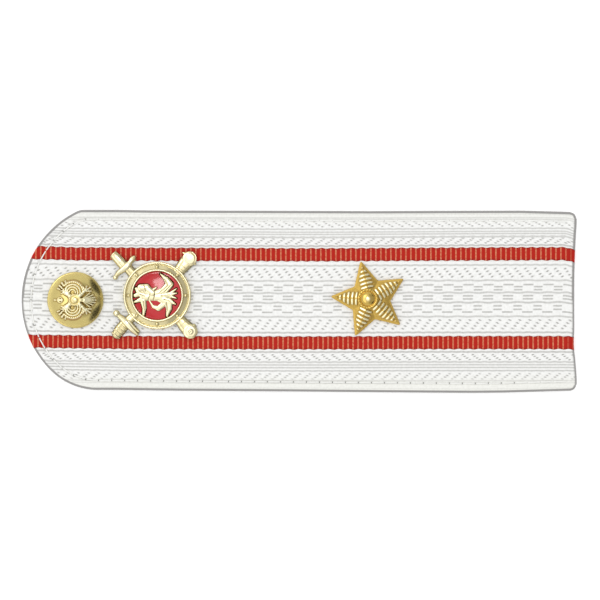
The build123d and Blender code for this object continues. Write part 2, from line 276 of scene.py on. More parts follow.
lowerRows = [
    Row(-13.49, "ripple", 0.22, tone=0.9, sway=0.05),
    Row(-14.19, "stroke", -0.235, 1, 1.0),
    Row(-14.61, "stroke", -0.14, 1, 1.0),
    Row(-15.03, "stroke", -0.02, 1, 1.0),
    Row(-15.43, "stroke", 0.11, 1, 1.0),
    Row(-16.02, "ripple", -0.14, tone=0.75, sway=0.06),
    Row(-16.74, "line", tone=0.8),
    Row(-17.44, "line", tone=0.85),
    Row(-18.24, "line", 0.0, tone=0.85, sway=0.03),
    Row(-19.01, "stroke", 0.105, -1, 0.8),
    Row(-19.45, "stroke", -0.02, -1, 0.85),
    Row(-19.87, "stroke", -0.125, -1, 0.85),
    Row(-20.31, "stroke", -0.26, -1, 0.6),
    Row(-20.76, "line", tone=0.45),
    Row(-21.40, "line", tone=0.35),
]


# The y of a long edge
def longEdge(side, x):
    return np.interp(x, *zip(*ofHalf(board, "line", side)))


# How far a point lies inside the long edges and the round end, from above
def seamDistance(x, y):
    distance = np.minimum(longEdge(1, x) - y, y - longEdge(-1, x))
    reach = np.hypot(np.minimum(x - endCentreX, 0.0), y - board["roundEndRise"])
    distance = np.minimum(distance, board["roundEndRadius"] - reach)
    for side in (1, -1):
        shoulder = ofHalf(board, "shoulder", side)
        centreY = longEdge(side, shoulderX) - side * shoulder
        span = board["roundEndRadius"] - shoulder
        centreX = endCentreX - math.sqrt(span ** 2 - (centreY - board["roundEndRise"]) ** 2)
        lean = math.atan2(abs(centreY - board["roundEndRise"]), centreX - endCentreX)
        angle = np.arctan2(side * (y - centreY), x - centreX)
        inWedge = (angle > math.pi / 2) & (angle < lean)
        distance = np.where(inWedge, shoulder - np.hypot(x - centreX, y - centreY), distance)
    return distance


# The same for the whole outline, with the straight end and its corners
def insideDistance(x, y):
    share = np.clip(np.abs(y) / board["upper"], 0, 1)
    end = board["right"] - board["endHollow"] * (1 - share ** board["endHollowPower"])
    end = end - board["cornerDraw"] * np.clip(
        (np.abs(y) - board["cornerDrawFrom"]) / board["cornerDrawSpan"], 0, 1,
    ) ** 2
    end = end - board["endTuck"] * np.exp(-((y - ribbon["stripeLower"]) / board["endTuckHeight"]) ** 2)
    distance = np.minimum(seamDistance(x, y), end - x)
    corner = board["cornerRadius"]
    for side in (1, -1):
        cornerX = board["right"] - board["cornerDraw"] - corner
        cornerY = longEdge(side, board["right"]) - side * corner
        inWedge = (x > cornerX) & (side * (y - cornerY) > 0)
        distance = np.where(inWedge, corner - np.hypot(x - cornerX, y - cornerY), distance)
    return distance


# Where a woven row runs: rows near a long edge follow it, the others rise a little at the round end
# and sag at the straight end
def rowHeight(offset, x):
    y = board["ribbonRise"] + offset
    near = board["upper"] if y > 0 else board["lower"]
    edgeShare = np.clip((abs(y) - board["edgeRows"]) / (abs(near) - board["edgeRows"]), 0, 1)
    follow = edgeShare * (longEdge(y, x) - near)
    fade = np.clip((board["upper"] - abs(y)) / board["riseFade"], 0, 1)
    sag = board["endSag"] + (board["endSagTop"] - board["endSag"]) * np.clip(y / board["endSagSpan"], -1, 1)
    late = np.clip((x - board["right"] + board["endSagLength"]) / board["endSagLength"], 0, 1)
    half = np.clip(0.5 + y / board["riseSpan"], 0, 1)
    rise = np.interp(x, *zip(*board["riseUpper"])) * half + np.interp(x, *zip(*board["riseLower"])) * (1 - half)
    return y + follow + rise * fade - sag * fade * late ** 2 * (3 - 2 * late)


# The x at which a row meets the outline drawn in by an inset
def rowEnds(offset, inset):
    ends = []
    for outer, inner in ((board["left"] - 1, -40.0), (board["right"] + 1, 40.0)):
        low, high = outer, inner
        for _ in range(40):
            middle = (low + high) / 2
            if insideDistance(middle, rowHeight(offset, middle)) > inset:
                high = middle
            else:
                low = middle
        ends.append((low + high) / 2)
    return ends


# The path of the topstitch: along both long edges and round the button end
def stitchPath():
    inset = board["stitchInset"]
    right = board["right"] - board["stitchEndGap"]
    turns = np.radians(np.linspace(95, 265, 120))
    near, far = np.full_like(turns, 12.0), np.full_like(turns, board["roundEndRadius"])
    for _ in range(30):
        reach = (near + far) / 2
        roundX, roundY = endCentreX + reach * np.cos(turns), board["roundEndRise"] + reach * np.sin(turns)
        deep = seamDistance(roundX, roundY) > inset
        near, far = np.where(deep, reach, near), np.where(deep, far, reach)
    points = [(x, longEdge(1, x) - inset) for x in np.linspace(right, roundX[0], 60)[:-1]]
    points += list(zip(roundX, roundY))
    points += [(x, longEdge(-1, x) + inset) for x in np.linspace(roundX[-1], right, 60)[1:]]
    points = np.array(points)
    lengths = np.r_[0, np.cumsum(np.hypot(*np.diff(points, axis=0).T))]
    count = int(round(lengths[-1] / board["stitchPitch"]))
    steps = np.linspace(0, lengths[-1], count + 1)
    return np.stack([np.interp(steps, lengths, points[:, k]) for k in (0, 1)], axis=1)


needleHoles = stitchPath()


# Height of the board's face, and how strongly a needle hole shows there
def faceLevel(x, y, inset=0.0):
    distance = insideDistance(x, y) - inset
    edge = board["faceEdge"] - inset * 0.5
    fall = edge - np.sqrt(np.maximum(edge ** 2 - (edge - np.clip(distance, 0, edge)) ** 2, 0))
    level = board["thickness"] - fall
    if inset:
        return level, np.zeros_like(level)
    near = np.exp(-((seamDistance(x, y) - board["stitchInset"]) / board["stitchDipWidth"]) ** 2)
    near = near * np.clip(board["right"] - board["stitchEndGap"] + 1 - x, 0, 1)
    hole = np.zeros_like(level)
    if np.any(near > 0.3):
        for holeX, holeY in needleHoles:
            gap = (0.65 * (x - holeX)) ** 2 + (1.15 * (y - holeY)) ** 2
            hole = np.maximum(hole, np.exp(-gap / board["holeRadius"] ** 2))
    hole = hole * np.where((y > 0) & (x > shoulderX), board["holesUpper"], board["holesLower"])
    hole = hole * np.clip((board["holesEnd"] - x) / 2, 0.1, 1.0)
    slow = np.sin(x * 0.21 + 1.3) * np.cos(y * 0.33) + np.sin(x * 0.083 - y * 0.17)
    level = level - board["stitchDip"] * near - board["holeDepth"] * hole + board["swell"] * (slow - 1)
    return level, hole


# The groove that a charted row leaves at each x, from 0 to 1
def rowMask(row, x, y):
    repeat = ribbon["repeat"]
    if row.kind in ("line", "wave", "ripple"):
        return np.full_like(x, row.tone * ribbon["lineTone"])
    pitch = repeat if "ash" in row.kind else repeat / 2
    tone = row.tone * ribbon["lineTone" if "ash" in row.kind else "strokeTone"]
    along = x - ribbon["phase"] - row.phase * repeat
    if row.kind == "stroke":
        along = along - row.lean * (y - board["ribbonRise"] - row.offset) * 0.9
    away = np.abs((along + pitch / 2) % pitch - pitch / 2)
    lengths = {"dash": ribbon["dashLong"], "shortDash": ribbon["dashShort"], "stroke": ribbon["strokeLength"]}
    half = lengths[row.kind] / 2
    return tone * np.clip((half - away) / ribbon["dashEnd"] + 0.5, 0, 1)


# How far a row sways to either side along the ribbon
def rowSway(row, x):
    if row is None or not row.sway:
        return np.zeros_like(x)
    period = ribbon["repeat"] if row.kind == "wave" else ribbon["repeat"] / 2
    turn = 2 * math.pi * (x - ribbon["phase"] - row.phase * ribbon["repeat"]) / period
    return row.sway * np.cos(turn)


def stripeEdge(side):
    return Row(0.0, "edge", ofHalf(ribbon, "sway", side), sway=ribbon["stripeSway"])


# A loop of mesh points round the board along one row: its offset, its chart and the groove's share
# there, how far it lies inside the board's skin, how far its face is lowered, or a pair of heights
# on the board's side
Loop = namedtuple("Loop", "offset row share inset drop wall", defaults=(None, 0, 0.0, 0.0, None))


# Loops for charted rows: two at a groove's floor and one at each shoulder
def rowLoops(rows):
    made = []
    for row in rows:
        stroke = ribbon["centreStroke"] if abs(row.offset) < ribbon["stripeUpper"] else ribbon["outerStroke"]
        half = {"line": ribbon["lineHalfWidth"], "stroke": stroke / 2, "dash": ribbon["dashHalfWidth"],
                "shortDash": ribbon["dashHalfWidth"]}.get(row.kind, ribbon["waveHalfWidth"])
        floor = half * ribbon["grooveFloor"]
        for shift, share in ((half, 0), (floor, 1), (-floor, 1), (-half, 0)):
            made.append(Loop(row.offset + shift, row, share))
    made.sort(key=lambda loop: -loop.offset)
    return made


# Face columns: fine at both ends, on the ribbon's repeat between them
def faceColumns(left, right):
    ends = np.array(board["faceEnds"])
    step = ribbon["repeat"] / ribbon["repeatColumns"]
    blendLeft = ribbon["phase"] - ribbon["repeatsLeft"] * ribbon["repeat"]
    blendRight = ribbon["phase"] + ribbon["repeatsRight"] * ribbon["repeat"]
    columns = (ribbon["repeatsLeft"] + ribbon["repeatsRight"]) * ribbon["repeatColumns"]
    return np.concatenate([
        left + ends,
        np.linspace(left + ends[-1], blendLeft, int((blendLeft - board["left"]) / step), endpoint=False)[1:],
        blendLeft + np.arange(columns + 1) * step,
        np.linspace(blendRight, right - ends[-1], int((board["right"] - blendRight) / step))[1:-1],
        right - ends[::-1],
    ])


# One closed body between two rows of the ribbon. Each loop runs over the face, down the ends and
# back along the underside.
def wovenSlab(name, loops, material):
    points, across, groove, holes, liningAndEdgeShade = [], [], [], [], []
    ends = np.array(board["underEnds"])
    for loop in loops:
        left, right = rowEnds(loop.offset, loop.inset)
        x = faceColumns(left, right)
        y = rowHeight(loop.offset, x) + rowSway(loop.row, x)
        z, hole = faceLevel(x, y, loop.inset)
        mask = rowMask(loop.row, x, y) * loop.share if loop.share else np.zeros_like(x)
        distance = insideDistance(x, y) - loop.inset
        z = z - ribbon["grooveDepth"] * mask * np.clip(distance / ribbon["grooveFade"], 0, 1) - loop.inset
        z = np.maximum(z - loop.drop, np.minimum(z, board["thickness"] / 2))
        between = np.linspace(right - ends[-1], left + ends[-1], board["underSteps"] + 2)[1:-1]
        underX = np.concatenate([right - ends, between, left + ends[::-1]])
        underY = rowHeight(loop.offset, underX)
        edge = board["underEdge"]
        underDistance = np.clip(insideDistance(underX, underY) - loop.inset, 0, edge)
        underZ = edge - np.sqrt(np.maximum(edge ** 2 - (edge - underDistance) ** 2, 0))
        side = loop.offset
        if loop.wall:
            z, underZ = np.full_like(z, loop.wall[0]), np.full_like(underZ, loop.wall[1])
            side = side + math.copysign(board["thickness"] - loop.wall[0], side)
        middle = (z[-1] + underZ[0]) / 2
        loopX = np.concatenate([x, [right], underX, [left]])
        loopY = np.concatenate([y, [underY[0]], underY, [underY[-1]]])
        loopZ = np.concatenate([z, [middle], underZ, [middle]])
        points.append(np.stack([loopX, loopY, loopZ], axis=1))
        below = np.where(np.arange(len(loopX)) < len(x), 0, np.minimum(board["thickness"] - loopZ, board["wrap"]))
        across.append(np.stack([loopX + np.sign(loopX) * below, np.full_like(loopX, side)], axis=1))
        blank = np.zeros(len(loopX) - len(x))
        groove.append(np.concatenate([mask, blank]))
        holes.append(np.concatenate([hole, blank]))
        # Painted edge shade on the face's outer rim; the sides, ends and underside take the lining's grey all over
        width = ofHalf(board, "liningAndEdgeShade", loop.offset)
        rim = np.clip((width - distance) / board["liningAndEdgeShadeSoft"] + 0.5, 0, 1) * (loop.inset + loop.drop == 0)
        liningAndEdgeShade.append(np.concatenate([rim, blank + 1]))
    faces = tubeFaces(len(loops), len(points[0]))
    values = {"groove": np.concatenate(groove), "hole": np.concatenate(holes), "liningAndEdgeShade": np.concatenate(liningAndEdgeShade)}
    points = np.concatenate(points)
    return makeObject(name, points, outward(points, faces), material, np.concatenate(across), values)


# Loops that take the cloth round a long edge, with one last line, and down the board's side
def edgeLoops(side):
    outer = (board["upper"] if side > 0 else board["lower"]) - board["ribbonRise"]
    last = 0.004
    insets = (1.35, 1.12, 0.88, 0.7, 0.58, 0.5, 0.42, 0.26, 0.14, 0.05, last)
    loops = [Loop(outer - side * inset) for inset in insets]
    loops.insert(2, Loop(outer - side, Row(0.0, "line", tone=0.4), 1))
    walls = ((1.8, 0.75), (1.6, 0.95), (1.36, 1.24), (1.302, 1.298))
    loops += [Loop(outer - side * last, wall=heights) for heights in walls]
    return loops + [Loop(outer - side, inset=0.8, wall=(1.301, 1.299))]


cloth = {
    "thread": "#F9F9F7",
    "cream": "#F2F2E9",
    "creamFrom": 18.5,  # cream builds up towards the long borders
    "creamTo": 22.0,
    "creamShare": 0.6,
    "shade": "#A9A8A3",
    "unevenness": 0.16,  # how much single picks differ
    # Painted shade in the needle holes
    "hole": "#8C8C86",
    # Grey of a lining on the sides and underside, and painted edge shade round the face
    "liningAndEdgeShade": "#93918F",
    "warpSpacing": 0.24,
    "weftSpacing": 0.42,
    "threadRise": 0.035,
    "roughness": 0.62,
}


# White galloon: polyester silk woven in a ribbed twill, so a soft sheen, with painted shade in its grooves and
# needle holes
def galloonMaterial():
    material, tree, shader = startMaterial("white_galloon_weave", {
        "Roughness": cloth["roughness"],
        "Sheen Weight": 0.25,
        "Sheen Roughness": 0.35,
        "IOR": 1.5,
    })
    uv = addNode(tree, "ShaderNodeUVMap", uv_map="UVMap").outputs["UV"]
    groove, hole, liningAndEdgeShade = (
        addNode(tree, "ShaderNodeAttribute", attribute_name=name).outputs["Fac"]
        for name in ("groove", "hole", "liningAndEdgeShade")
    )
    parted = addNode(tree, "ShaderNodeSeparateXYZ", {0: uv})
    far = addNode(tree, "ShaderNodeMath", {0: parted.outputs["Y"]}, operation="ABSOLUTE").outputs[0]
    edge = addNode(tree, "ShaderNodeMapRange", {
        0: far, 1: cloth["creamFrom"], 2: cloth["creamTo"], 3: 0.0, 4: cloth["creamShare"],
    }).outputs[0]
    picks = addNode(tree, "ShaderNodeTexNoise", {"Vector": uv, "Scale": 1.6, "Detail": 3.0}).outputs["Fac"]
    uneven = addNode(tree, "ShaderNodeMapRange", {
        0: picks, 1: 0.35, 2: 0.7, 3: 0.0, 4: cloth["unevenness"],
    }).outputs[0]
    sunk = addNode(tree, "ShaderNodeMath", {0: groove, 1: uneven}, operation="ADD", use_clamp=True).outputs[0]
    colour = linearColour(cloth["thread"])
    # Cream towards the borders, then painted shade in grooves and needle holes and round the face's edge
    for share, name in ((edge, "cream"), (sunk, "shade"), (hole, "hole"), (liningAndEdgeShade, "liningAndEdgeShade")):
        colour = addNode(tree, "ShaderNodeMix", {
            0: share, 6: colour, 7: linearColour(cloth[name]),
        }, data_type="RGBA").outputs[2]
    tree.links.new(colour, shader.inputs["Base Color"])
    warp = addNode(tree, "ShaderNodeTexWave", {
        "Vector": uv, "Scale": math.pi / 10 / cloth["warpSpacing"], "Distortion": 0.6, "Detail": 1.0,
    }, bands_direction="Y").outputs["Fac"]
    weft = addNode(tree, "ShaderNodeTexWave", {
        "Vector": uv, "Scale": math.pi / 10 / cloth["weftSpacing"], "Distortion": 0.4, "Detail": 1.0,
    }, bands_direction="X").outputs["Fac"]
    threads = addNode(tree, "ShaderNodeMath", {0: warp, 1: weft}, operation="MULTIPLY").outputs[0]
    bump = addNode(tree, "ShaderNodeBump", {
        "Height": threads, "Strength": 0.6, "Distance": cloth["threadRise"] * mm,
    }).outputs["Normal"]
    tree.links.new(bump, shader.inputs["Normal"])
    return material


stripe = {
    "red": "#B81600",
    "deep": "#9A0F06",
    "light": "#E39C72",
    "fold": 67.0,  # x beyond which the pale lines fade, towards the fold at the straight end
    "foldLength": 1.2,
    "foldLeft": 0.3,  # what is left of them there
    "pitch": 1.265,
    "phaseUpper": 37.18,  # x of a light line
    "phaseLower": 36.47,
    "ribRise": 0.11,
    "lineWidth": 0.24,
    "edgeFall": 0.06,  # how far the face falls towards its wavy edges
    "warpSpacing": 0.22,
    "threadRise": 0.03,
    "roughness": 0.55,
    "innerSteps": 60,
}


# Red stripe: the same thread packed in cross ribs, with pale warp showing between them
def stripeMaterial(side):
    material, tree, shader = startMaterial(f"red_rib_weave_{'upper' if side > 0 else 'lower'}", {
        "Roughness": stripe["roughness"],
        "Sheen Weight": 0.04,
        "Sheen Roughness": 0.4,
        "Sheen Tint": linearColour("#FFB7A0"),
        "Specular IOR Level": 0.15,
        "IOR": 1.5,
    })
    uv = addNode(tree, "ShaderNodeUVMap", uv_map="UVMap").outputs["UV"]
    along = addNode(tree, "ShaderNodeSeparateXYZ", {0: uv}).outputs["X"]
    shifted = addNode(tree, "ShaderNodeMath", {
        0: along, 1: ofHalf(stripe, "phase", side),
    }, operation="SUBTRACT").outputs[0]
    away = addNode(tree, "ShaderNodeMath", {0: shifted, 1: stripe["pitch"] / 2}, operation="PINGPONG").outputs[0]
    line = addNode(tree, "ShaderNodeMapRange", {
        0: away, 1: stripe["lineWidth"] * 0.25, 2: stripe["lineWidth"], 3: 1.0, 4: 0.0,
    }).outputs[0]
    uneven = addNode(tree, "ShaderNodeTexNoise", {"Vector": uv, "Scale": 2.2, "Detail": 2.0}).outputs["Fac"]
    strength = addNode(tree, "ShaderNodeMapRange", {0: uneven, 1: 0.3, 2: 0.65, 3: 0.25, 4: 0.95}).outputs[0]
    faded = addNode(tree, "ShaderNodeMapRange", {
        0: along, 1: stripe["fold"], 2: stripe["fold"] + stripe["foldLength"], 3: 1.0, 4: stripe["foldLeft"],
    }).outputs[0]
    shown = addNode(tree, "ShaderNodeMath", {0: line, 1: strength}, operation="MULTIPLY").outputs[0]
    pale = addNode(tree, "ShaderNodeMath", {0: shown, 1: faded}, operation="MULTIPLY").outputs[0]
    folded = addNode(tree, "ShaderNodeMath", {0: 0.5, 1: faded}, operation="SUBTRACT").outputs[0]
    edge = addNode(tree, "ShaderNodeAttribute", attribute_name="groove").outputs["Fac"]
    rim = addNode(tree, "ShaderNodeMath", {0: edge, 1: folded}, operation="MAXIMUM").outputs[0]
    colour = linearColour(stripe["red"])
    for share, name in ((rim, "deep"), (pale, "light")):
        colour = addNode(tree, "ShaderNodeMix", {
            0: share, 6: colour, 7: linearColour(stripe[name]),
        }, data_type="RGBA").outputs[2]
    tree.links.new(colour, shader.inputs["Base Color"])
    warp = addNode(tree, "ShaderNodeTexWave", {
        "Vector": uv, "Scale": math.pi / 10 / stripe["warpSpacing"], "Distortion": 0.5, "Detail": 1.0,
    }, bands_direction="Y").outputs["Fac"]
    bump = addNode(tree, "ShaderNodeBump", {
        "Height": warp, "Strength": 0.5, "Distance": stripe["threadRise"] * mm,
    }).outputs["Normal"]
    tree.links.new(bump, shader.inputs["Normal"])
    return material


# Loops of the white centre band: its face, and the channels that the red stripes lie in
def centreSlabLoops():
    half = ribbon["stripeWidth"] / 2
    inset = ribbon["stripeDepth"] + ribbon["channelGap"]
    upper, lower = ribbon["stripeUpper"], ribbon["stripeLower"]
    top = [Loop(upper + half, inset=inset), Loop(upper - half, inset=inset), Loop(upper - half, stripeEdge(1))]
    foot = [Loop(lower + half, stripeEdge(-1)), Loop(lower + half, inset=inset), Loop(lower - half, inset=inset)]
    return top + rowLoops(centreRows) + foot


def outerSlabLoops(side):
    outer = ofHalf(ribbon, "stripe", side) + side * ribbon["stripeWidth"] / 2
    limit = abs((board["upper"] if side > 0 else board["lower"]) - board["ribbonRise"]) - 1.4
    charted = [loop for loop in rowLoops(upperRows if side > 0 else lowerRows) if abs(loop.offset) < limit]
    plain = np.arange(max(abs(loop.offset) for loop in charted) + 0.3, limit, 0.3)
    loops = sorted(charted + [Loop(side * p) for p in plain], key=lambda loop: abs(loop.offset))
    return [Loop(outer, drop=ribbon["stripeDepth"]), Loop(outer, stripeEdge(side))] + loops + edgeLoops(side)


# A red stripe: rows over the face and down both ends, on an inner surface in its channel
def redStripe(name, side, material):
    half = ribbon["stripeWidth"] / 2
    depth = ribbon["stripeDepth"]
    shares = [-1, -0.82, -0.5, 0, 0.5, 0.82, 1]
    wall = np.array([1.6, 1.2, 0.8])  # heights down the ends
    steps = stripe["innerSteps"]
    points, across, groove, outside = [], [], [], []
    for share in shares:
        offset = ofHalf(ribbon, "stripe", side) + share * half
        left, right = rowEnds(offset, 0.0)
        x = faceColumns(left, right)
        y = rowHeight(offset, x) + rowSway(stripeEdge(side), x) * share ** 2
        z, _ = faceLevel(x, y)
        z = z - stripe["edgeFall"] * share ** 4
        innerX = np.linspace(right - depth, left + depth, steps)
        innerY = rowHeight(offset, innerX)
        loopX = np.concatenate([x, np.full(3, right), [right - depth], innerX, [left + depth], np.full(3, left)])
        loopY = np.concatenate([y, np.full(3, y[-1]), [innerY[0]], innerY, [innerY[-1]], np.full(3, y[0])])
        inner = np.full(steps, board["thickness"] - depth)
        loopZ = np.concatenate([z, wall, wall[-1:], inner, wall[-1:], wall[::-1]])
        alongX = np.concatenate([x, right + 3 - wall, [right + 3], innerX, [left - 3], left - 3 + wall[::-1]])
        points.append(np.stack([loopX, loopY, loopZ], axis=1))
        across.append(np.stack([alongX, np.full_like(alongX, offset)], axis=1))
        groove.append(np.full(len(loopX), max(0.0, abs(share) - 0.7) / 0.3))
        outside.append(loopZ > board["thickness"] - depth + 0.01)
    points, across = np.concatenate(points), np.concatenate(across)
    values = {"groove": np.concatenate(groove), "along": across[:, 0], "outside": np.concatenate(outside)}
    faces = tubeFaces(len(shares), len(alongX))
    return makeObject(name, points, outward(points, faces), material, across, values)


# Starts a Geometry Nodes tree with its named inputs
def startTree(name, sockets):
    tree = bpy.data.node_groups.new(name, "GeometryNodeTree")
    for label, kind in sockets:
        tree.interface.new_socket(label, in_out="INPUT", socket_type="NodeSocket" + kind)
    tree.interface.new_socket("Geometry", in_out="OUTPUT", socket_type="NodeSocketGeometry")
    return tree, addNode(tree, "NodeGroupInput").outputs


# Ends one with real, painted geometry
def endTree(tree, geometry, material):
    real = addNode(tree, "GeometryNodeRealizeInstances", {"Geometry": geometry})
    painted = addNode(tree, "GeometryNodeSetMaterial", {"Geometry": real.outputs[0], "Material": material})
    addNode(tree, "NodeGroupOutput", {"Geometry": painted.outputs[0]})
    return tree


# Ribs: Geometry Nodes raise the stripe's face between the pale lines
def ribTree():
    tree, source = startTree("stripe_ribs", [
        ("Geometry", "Geometry"), ("Pitch", "Float"), ("Phase", "Float"), ("Rise", "Float"),
        ("Material", "Material"),
    ])
    along, outside = (
        addNode(tree, "GeometryNodeInputNamedAttribute", {"Name": name}, data_type="FLOAT").outputs["Attribute"]
        for name in ("along", "outside")
    )
    height = along
    for operation, value in (
        ("SUBTRACT", source["Phase"]), ("DIVIDE", source["Pitch"]), ("MULTIPLY", math.pi), ("SINE", 0.0),
        ("ABSOLUTE", 0.0), ("POWER", 0.6), ("SUBTRACT", 1.0), ("MULTIPLY", source["Rise"]), ("MULTIPLY", outside),
    ):
        height = addNode(tree, "ShaderNodeMath", {0: height, 1: value}, operation=operation).outputs[0]
    lift = addNode(tree, "ShaderNodeCombineXYZ", {"Z": height}).outputs[0]
    moved = addNode(tree, "GeometryNodeSetPosition", {"Geometry": source["Geometry"], "Offset": lift})
    return endTree(tree, moved.outputs[0], source["Material"])


# Runs a Geometry Nodes tree on an object and keeps the result as its plain mesh
def applyTree(piece, tree, inputs):
    modifier = piece.modifiers.new(tree.name, "NODES")
    modifier.node_group = tree
    sockets = {item.name: item.identifier for item in tree.interface.items_tree if item.in_out == "INPUT"}
    for label, value in inputs.items():
        modifier[sockets[label]] = value
    graph = bpy.context.evaluated_depsgraph_get()
    evaluated = piece.evaluated_get(graph)
    result = bpy.data.meshes.new_from_object(evaluated, preserve_all_data_layers=True, depsgraph=graph)
    piece.modifiers.remove(modifier)
    old = piece.data
    piece.data = result
    bpy.data.meshes.remove(old)
    return piece


whiteCloth = galloonMaterial()
slabs = {"centre": centreSlabLoops(), "upper": outerSlabLoops(1), "lower": outerSlabLoops(-1)}
for label, loops in slabs.items():
    seat(wovenSlab(f"galloon_{label}", loops, whiteCloth), "board")

ribs = ribTree()
for side, label in ((1, "upper"), (-1, "lower")):
    finish = stripeMaterial(side)
    piece = applyTree(redStripe(f"red_rib_stripe_{label}", side, finish), ribs, {
        "Pitch": stripe["pitch"],
        "Phase": ofHalf(stripe, "phase", side),
        "Rise": stripe["ribRise"] * mm,
        "Material": finish,
    })
    seat(piece, f"red_stripe_{label}")


# Topstitch: white thread that dips into a needle hole at both ends of each stitch
topstitch = {
    "radius": 0.16,
    "reach": 0.44,  # half a stitch, in shares of the pitch
    "bow": 0.34,
    "sunk": 0.25,  # share of the bow that lies below the face
    "curveSteps": 9,
    "sides": 8,
    "colour": "#F7F7F4",
    "twist": 0.45,
    "twistRise": 0.04,
}


def stitchTree():
    tree, source = startTree("topstitch", [
        ("Geometry", "Geometry"), ("Half Length", "Float"), ("Bow", "Float"), ("Thread Radius", "Float"),
        ("Material", "Material"),
    ])
    back = addNode(tree, "ShaderNodeMath", {0: source["Half Length"], 1: -1.0}, operation="MULTIPLY").outputs[0]
    start = addNode(tree, "ShaderNodeCombineXYZ", {"X": back}).outputs[0]
    end = addNode(tree, "ShaderNodeCombineXYZ", {"X": source["Half Length"]}).outputs[0]
    top = addNode(tree, "ShaderNodeCombineXYZ", {"Z": source["Bow"]}).outputs[0]
    thread = addNode(tree, "GeometryNodeCurveQuadraticBezier", {
        "Resolution": topstitch["curveSteps"], "Start": start, "Middle": top, "End": end,
    })
    ring = addNode(tree, "GeometryNodeCurvePrimitiveCircle", {
        "Resolution": topstitch["sides"], "Radius": source["Thread Radius"],
    })
    stitch = addNode(tree, "GeometryNodeCurveToMesh", {
        "Curve": thread.outputs[0], "Profile Curve": ring.outputs[0], "Fill Caps": True,
    })
    turn = addNode(tree, "GeometryNodeInputNamedAttribute", {"Name": "turn"}, data_type="FLOAT_VECTOR")
    laid = addNode(tree, "GeometryNodeInstanceOnPoints", {
        "Points": source["Geometry"], "Instance": stitch.outputs[0], "Rotation": turn.outputs["Attribute"],
    })
    return endTree(tree, laid.outputs[0], source["Material"])


# White sewing thread: matt, with the fine slanting lines of its twist
def makeTopstitch():
    material, tree, shader = startMaterial("white_sewing_thread", {
        "Base Color": linearColour(topstitch["colour"]),
        "Roughness": 0.5,
        "Sheen Weight": 0.2,
    })
    place = addNode(tree, "ShaderNodeTexCoord").outputs["Object"]
    strands = addNode(tree, "ShaderNodeTexWave", {
        "Vector": place, "Scale": math.pi / 10 / (topstitch["twist"] * mm), "Distortion": 0.3,
    }, bands_direction="DIAGONAL").outputs["Fac"]
    bump = addNode(tree, "ShaderNodeBump", {
        "Height": strands, "Strength": 0.5, "Distance": topstitch["twistRise"] * mm,
    }).outputs["Normal"]
    tree.links.new(bump, shader.inputs["Normal"])
    middles = (needleHoles[1:] + needleHoles[:-1]) / 2
    heading = np.diff(needleHoles, axis=0)
    level = board["thickness"] - board["stitchDip"] - topstitch["bow"] * topstitch["sunk"]
    points = np.c_[middles, np.full(len(middles), level)]
    piece = makeObject("topstitch", points, [], material)
    layer = piece.data.attributes.new("turn", "FLOAT_VECTOR", "POINT")
    turns = np.zeros((len(middles), 3), dtype=np.float32)
    turns[:, 2] = np.arctan2(heading[:, 1], heading[:, 0])
    layer.data.foreach_set("vector", turns.ravel())
    piece = applyTree(piece, stitchTree(), {
        "Half Length": topstitch["reach"] * board["stitchPitch"] * mm,
        "Bow": 2 * topstitch["bow"] * mm,
        "Thread Radius": topstitch["radius"] * mm,
        "Material": material,
    })
    piece.data.polygons.foreach_set("use_smooth", [True] * len(piece.data.polygons))
    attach(piece, "root")
    print("topstitch:", len(middles), "stitches")


makeTopstitch()


# Cast relief is drawn in strokes: tapered bars with rounded backs, in shares of a named radius
Stroke = namedtuple("Stroke", "x0 y0 r0 x1 y1 r1 rise", defaults=(1.0,))


# How far inside a stroke each point lies, in millimetres, and as a share of the stroke's radius
def strokeReach(x, y, stroke, scale):
    x0, y0, r0, x1, y1, r1 = (scale * value for value in stroke[:6])
    alongX, alongY = x1 - x0, y1 - y0
    share = np.clip(((x - x0) * alongX + (y - y0) * alongY) / (alongX ** 2 + alongY ** 2), 0, 1)
    radius = r0 + (r1 - r0) * share
    away = np.hypot(x - x0 - share * alongX, y - y0 - share * alongY)
    return radius - away, away / radius


# Height of the strokes' rounded backs
def reliefHeight(x, y, strokes, scale):
    height = np.zeros_like(x)
    for stroke in strokes:
        _, away = strokeReach(x, y, stroke, scale)
        height = np.maximum(height, stroke.rise * np.sqrt(np.clip(1 - away ** 2, 0, 1)))
    return height


def mirroredStrokes(strokes):
    return strokes + [stroke._replace(y0=-stroke.y0, y1=-stroke.y1) for stroke in strokes]


# An even grid of quads over the unit disc, and the order of its rim points
def discGrid(count):
    side = np.linspace(-1, 1, count + 1)
    u, v = np.meshgrid(side, side, indexing="ij")
    x = u * np.sqrt(1 - v ** 2 / 2)
    y = v * np.sqrt(1 - u ** 2 / 2)
    faces = quadFaces(count + 1, count + 1, closed=False)
    index = np.arange((count + 1) ** 2).reshape(count + 1, count + 1)
    rim = np.concatenate([index[:-1, 0], index[-1, :-1], index[:0:-1, -1], index[0, :0:-1]])
    return x.ravel(), y.ravel(), faces, rim


# Closes a disc grid with rings of (radius, height) that follow its rim, down to a small cap
def closedDisc(x, y, z, faces, rim, rings):
    points = [np.stack([x, y, z], axis=1)]
    turn = np.arctan2(y[rim], x[rim])
    before = list(rim)
    count = len(rim)
    base = len(x)
    faces = [list(face) for face in faces]
    for radius, height in rings:
        points.append(np.stack([radius * np.cos(turn), radius * np.sin(turn), np.full(count, height)], axis=1))
        after = list(range(base, base + count))
        base += count
        for k in range(count):
            n = (k + 1) % count
            faces.append([before[k], before[n], after[n], after[k]])
        before = after
    faces.append(before)
    points = np.concatenate(points)
    return points, outward(points, faces)


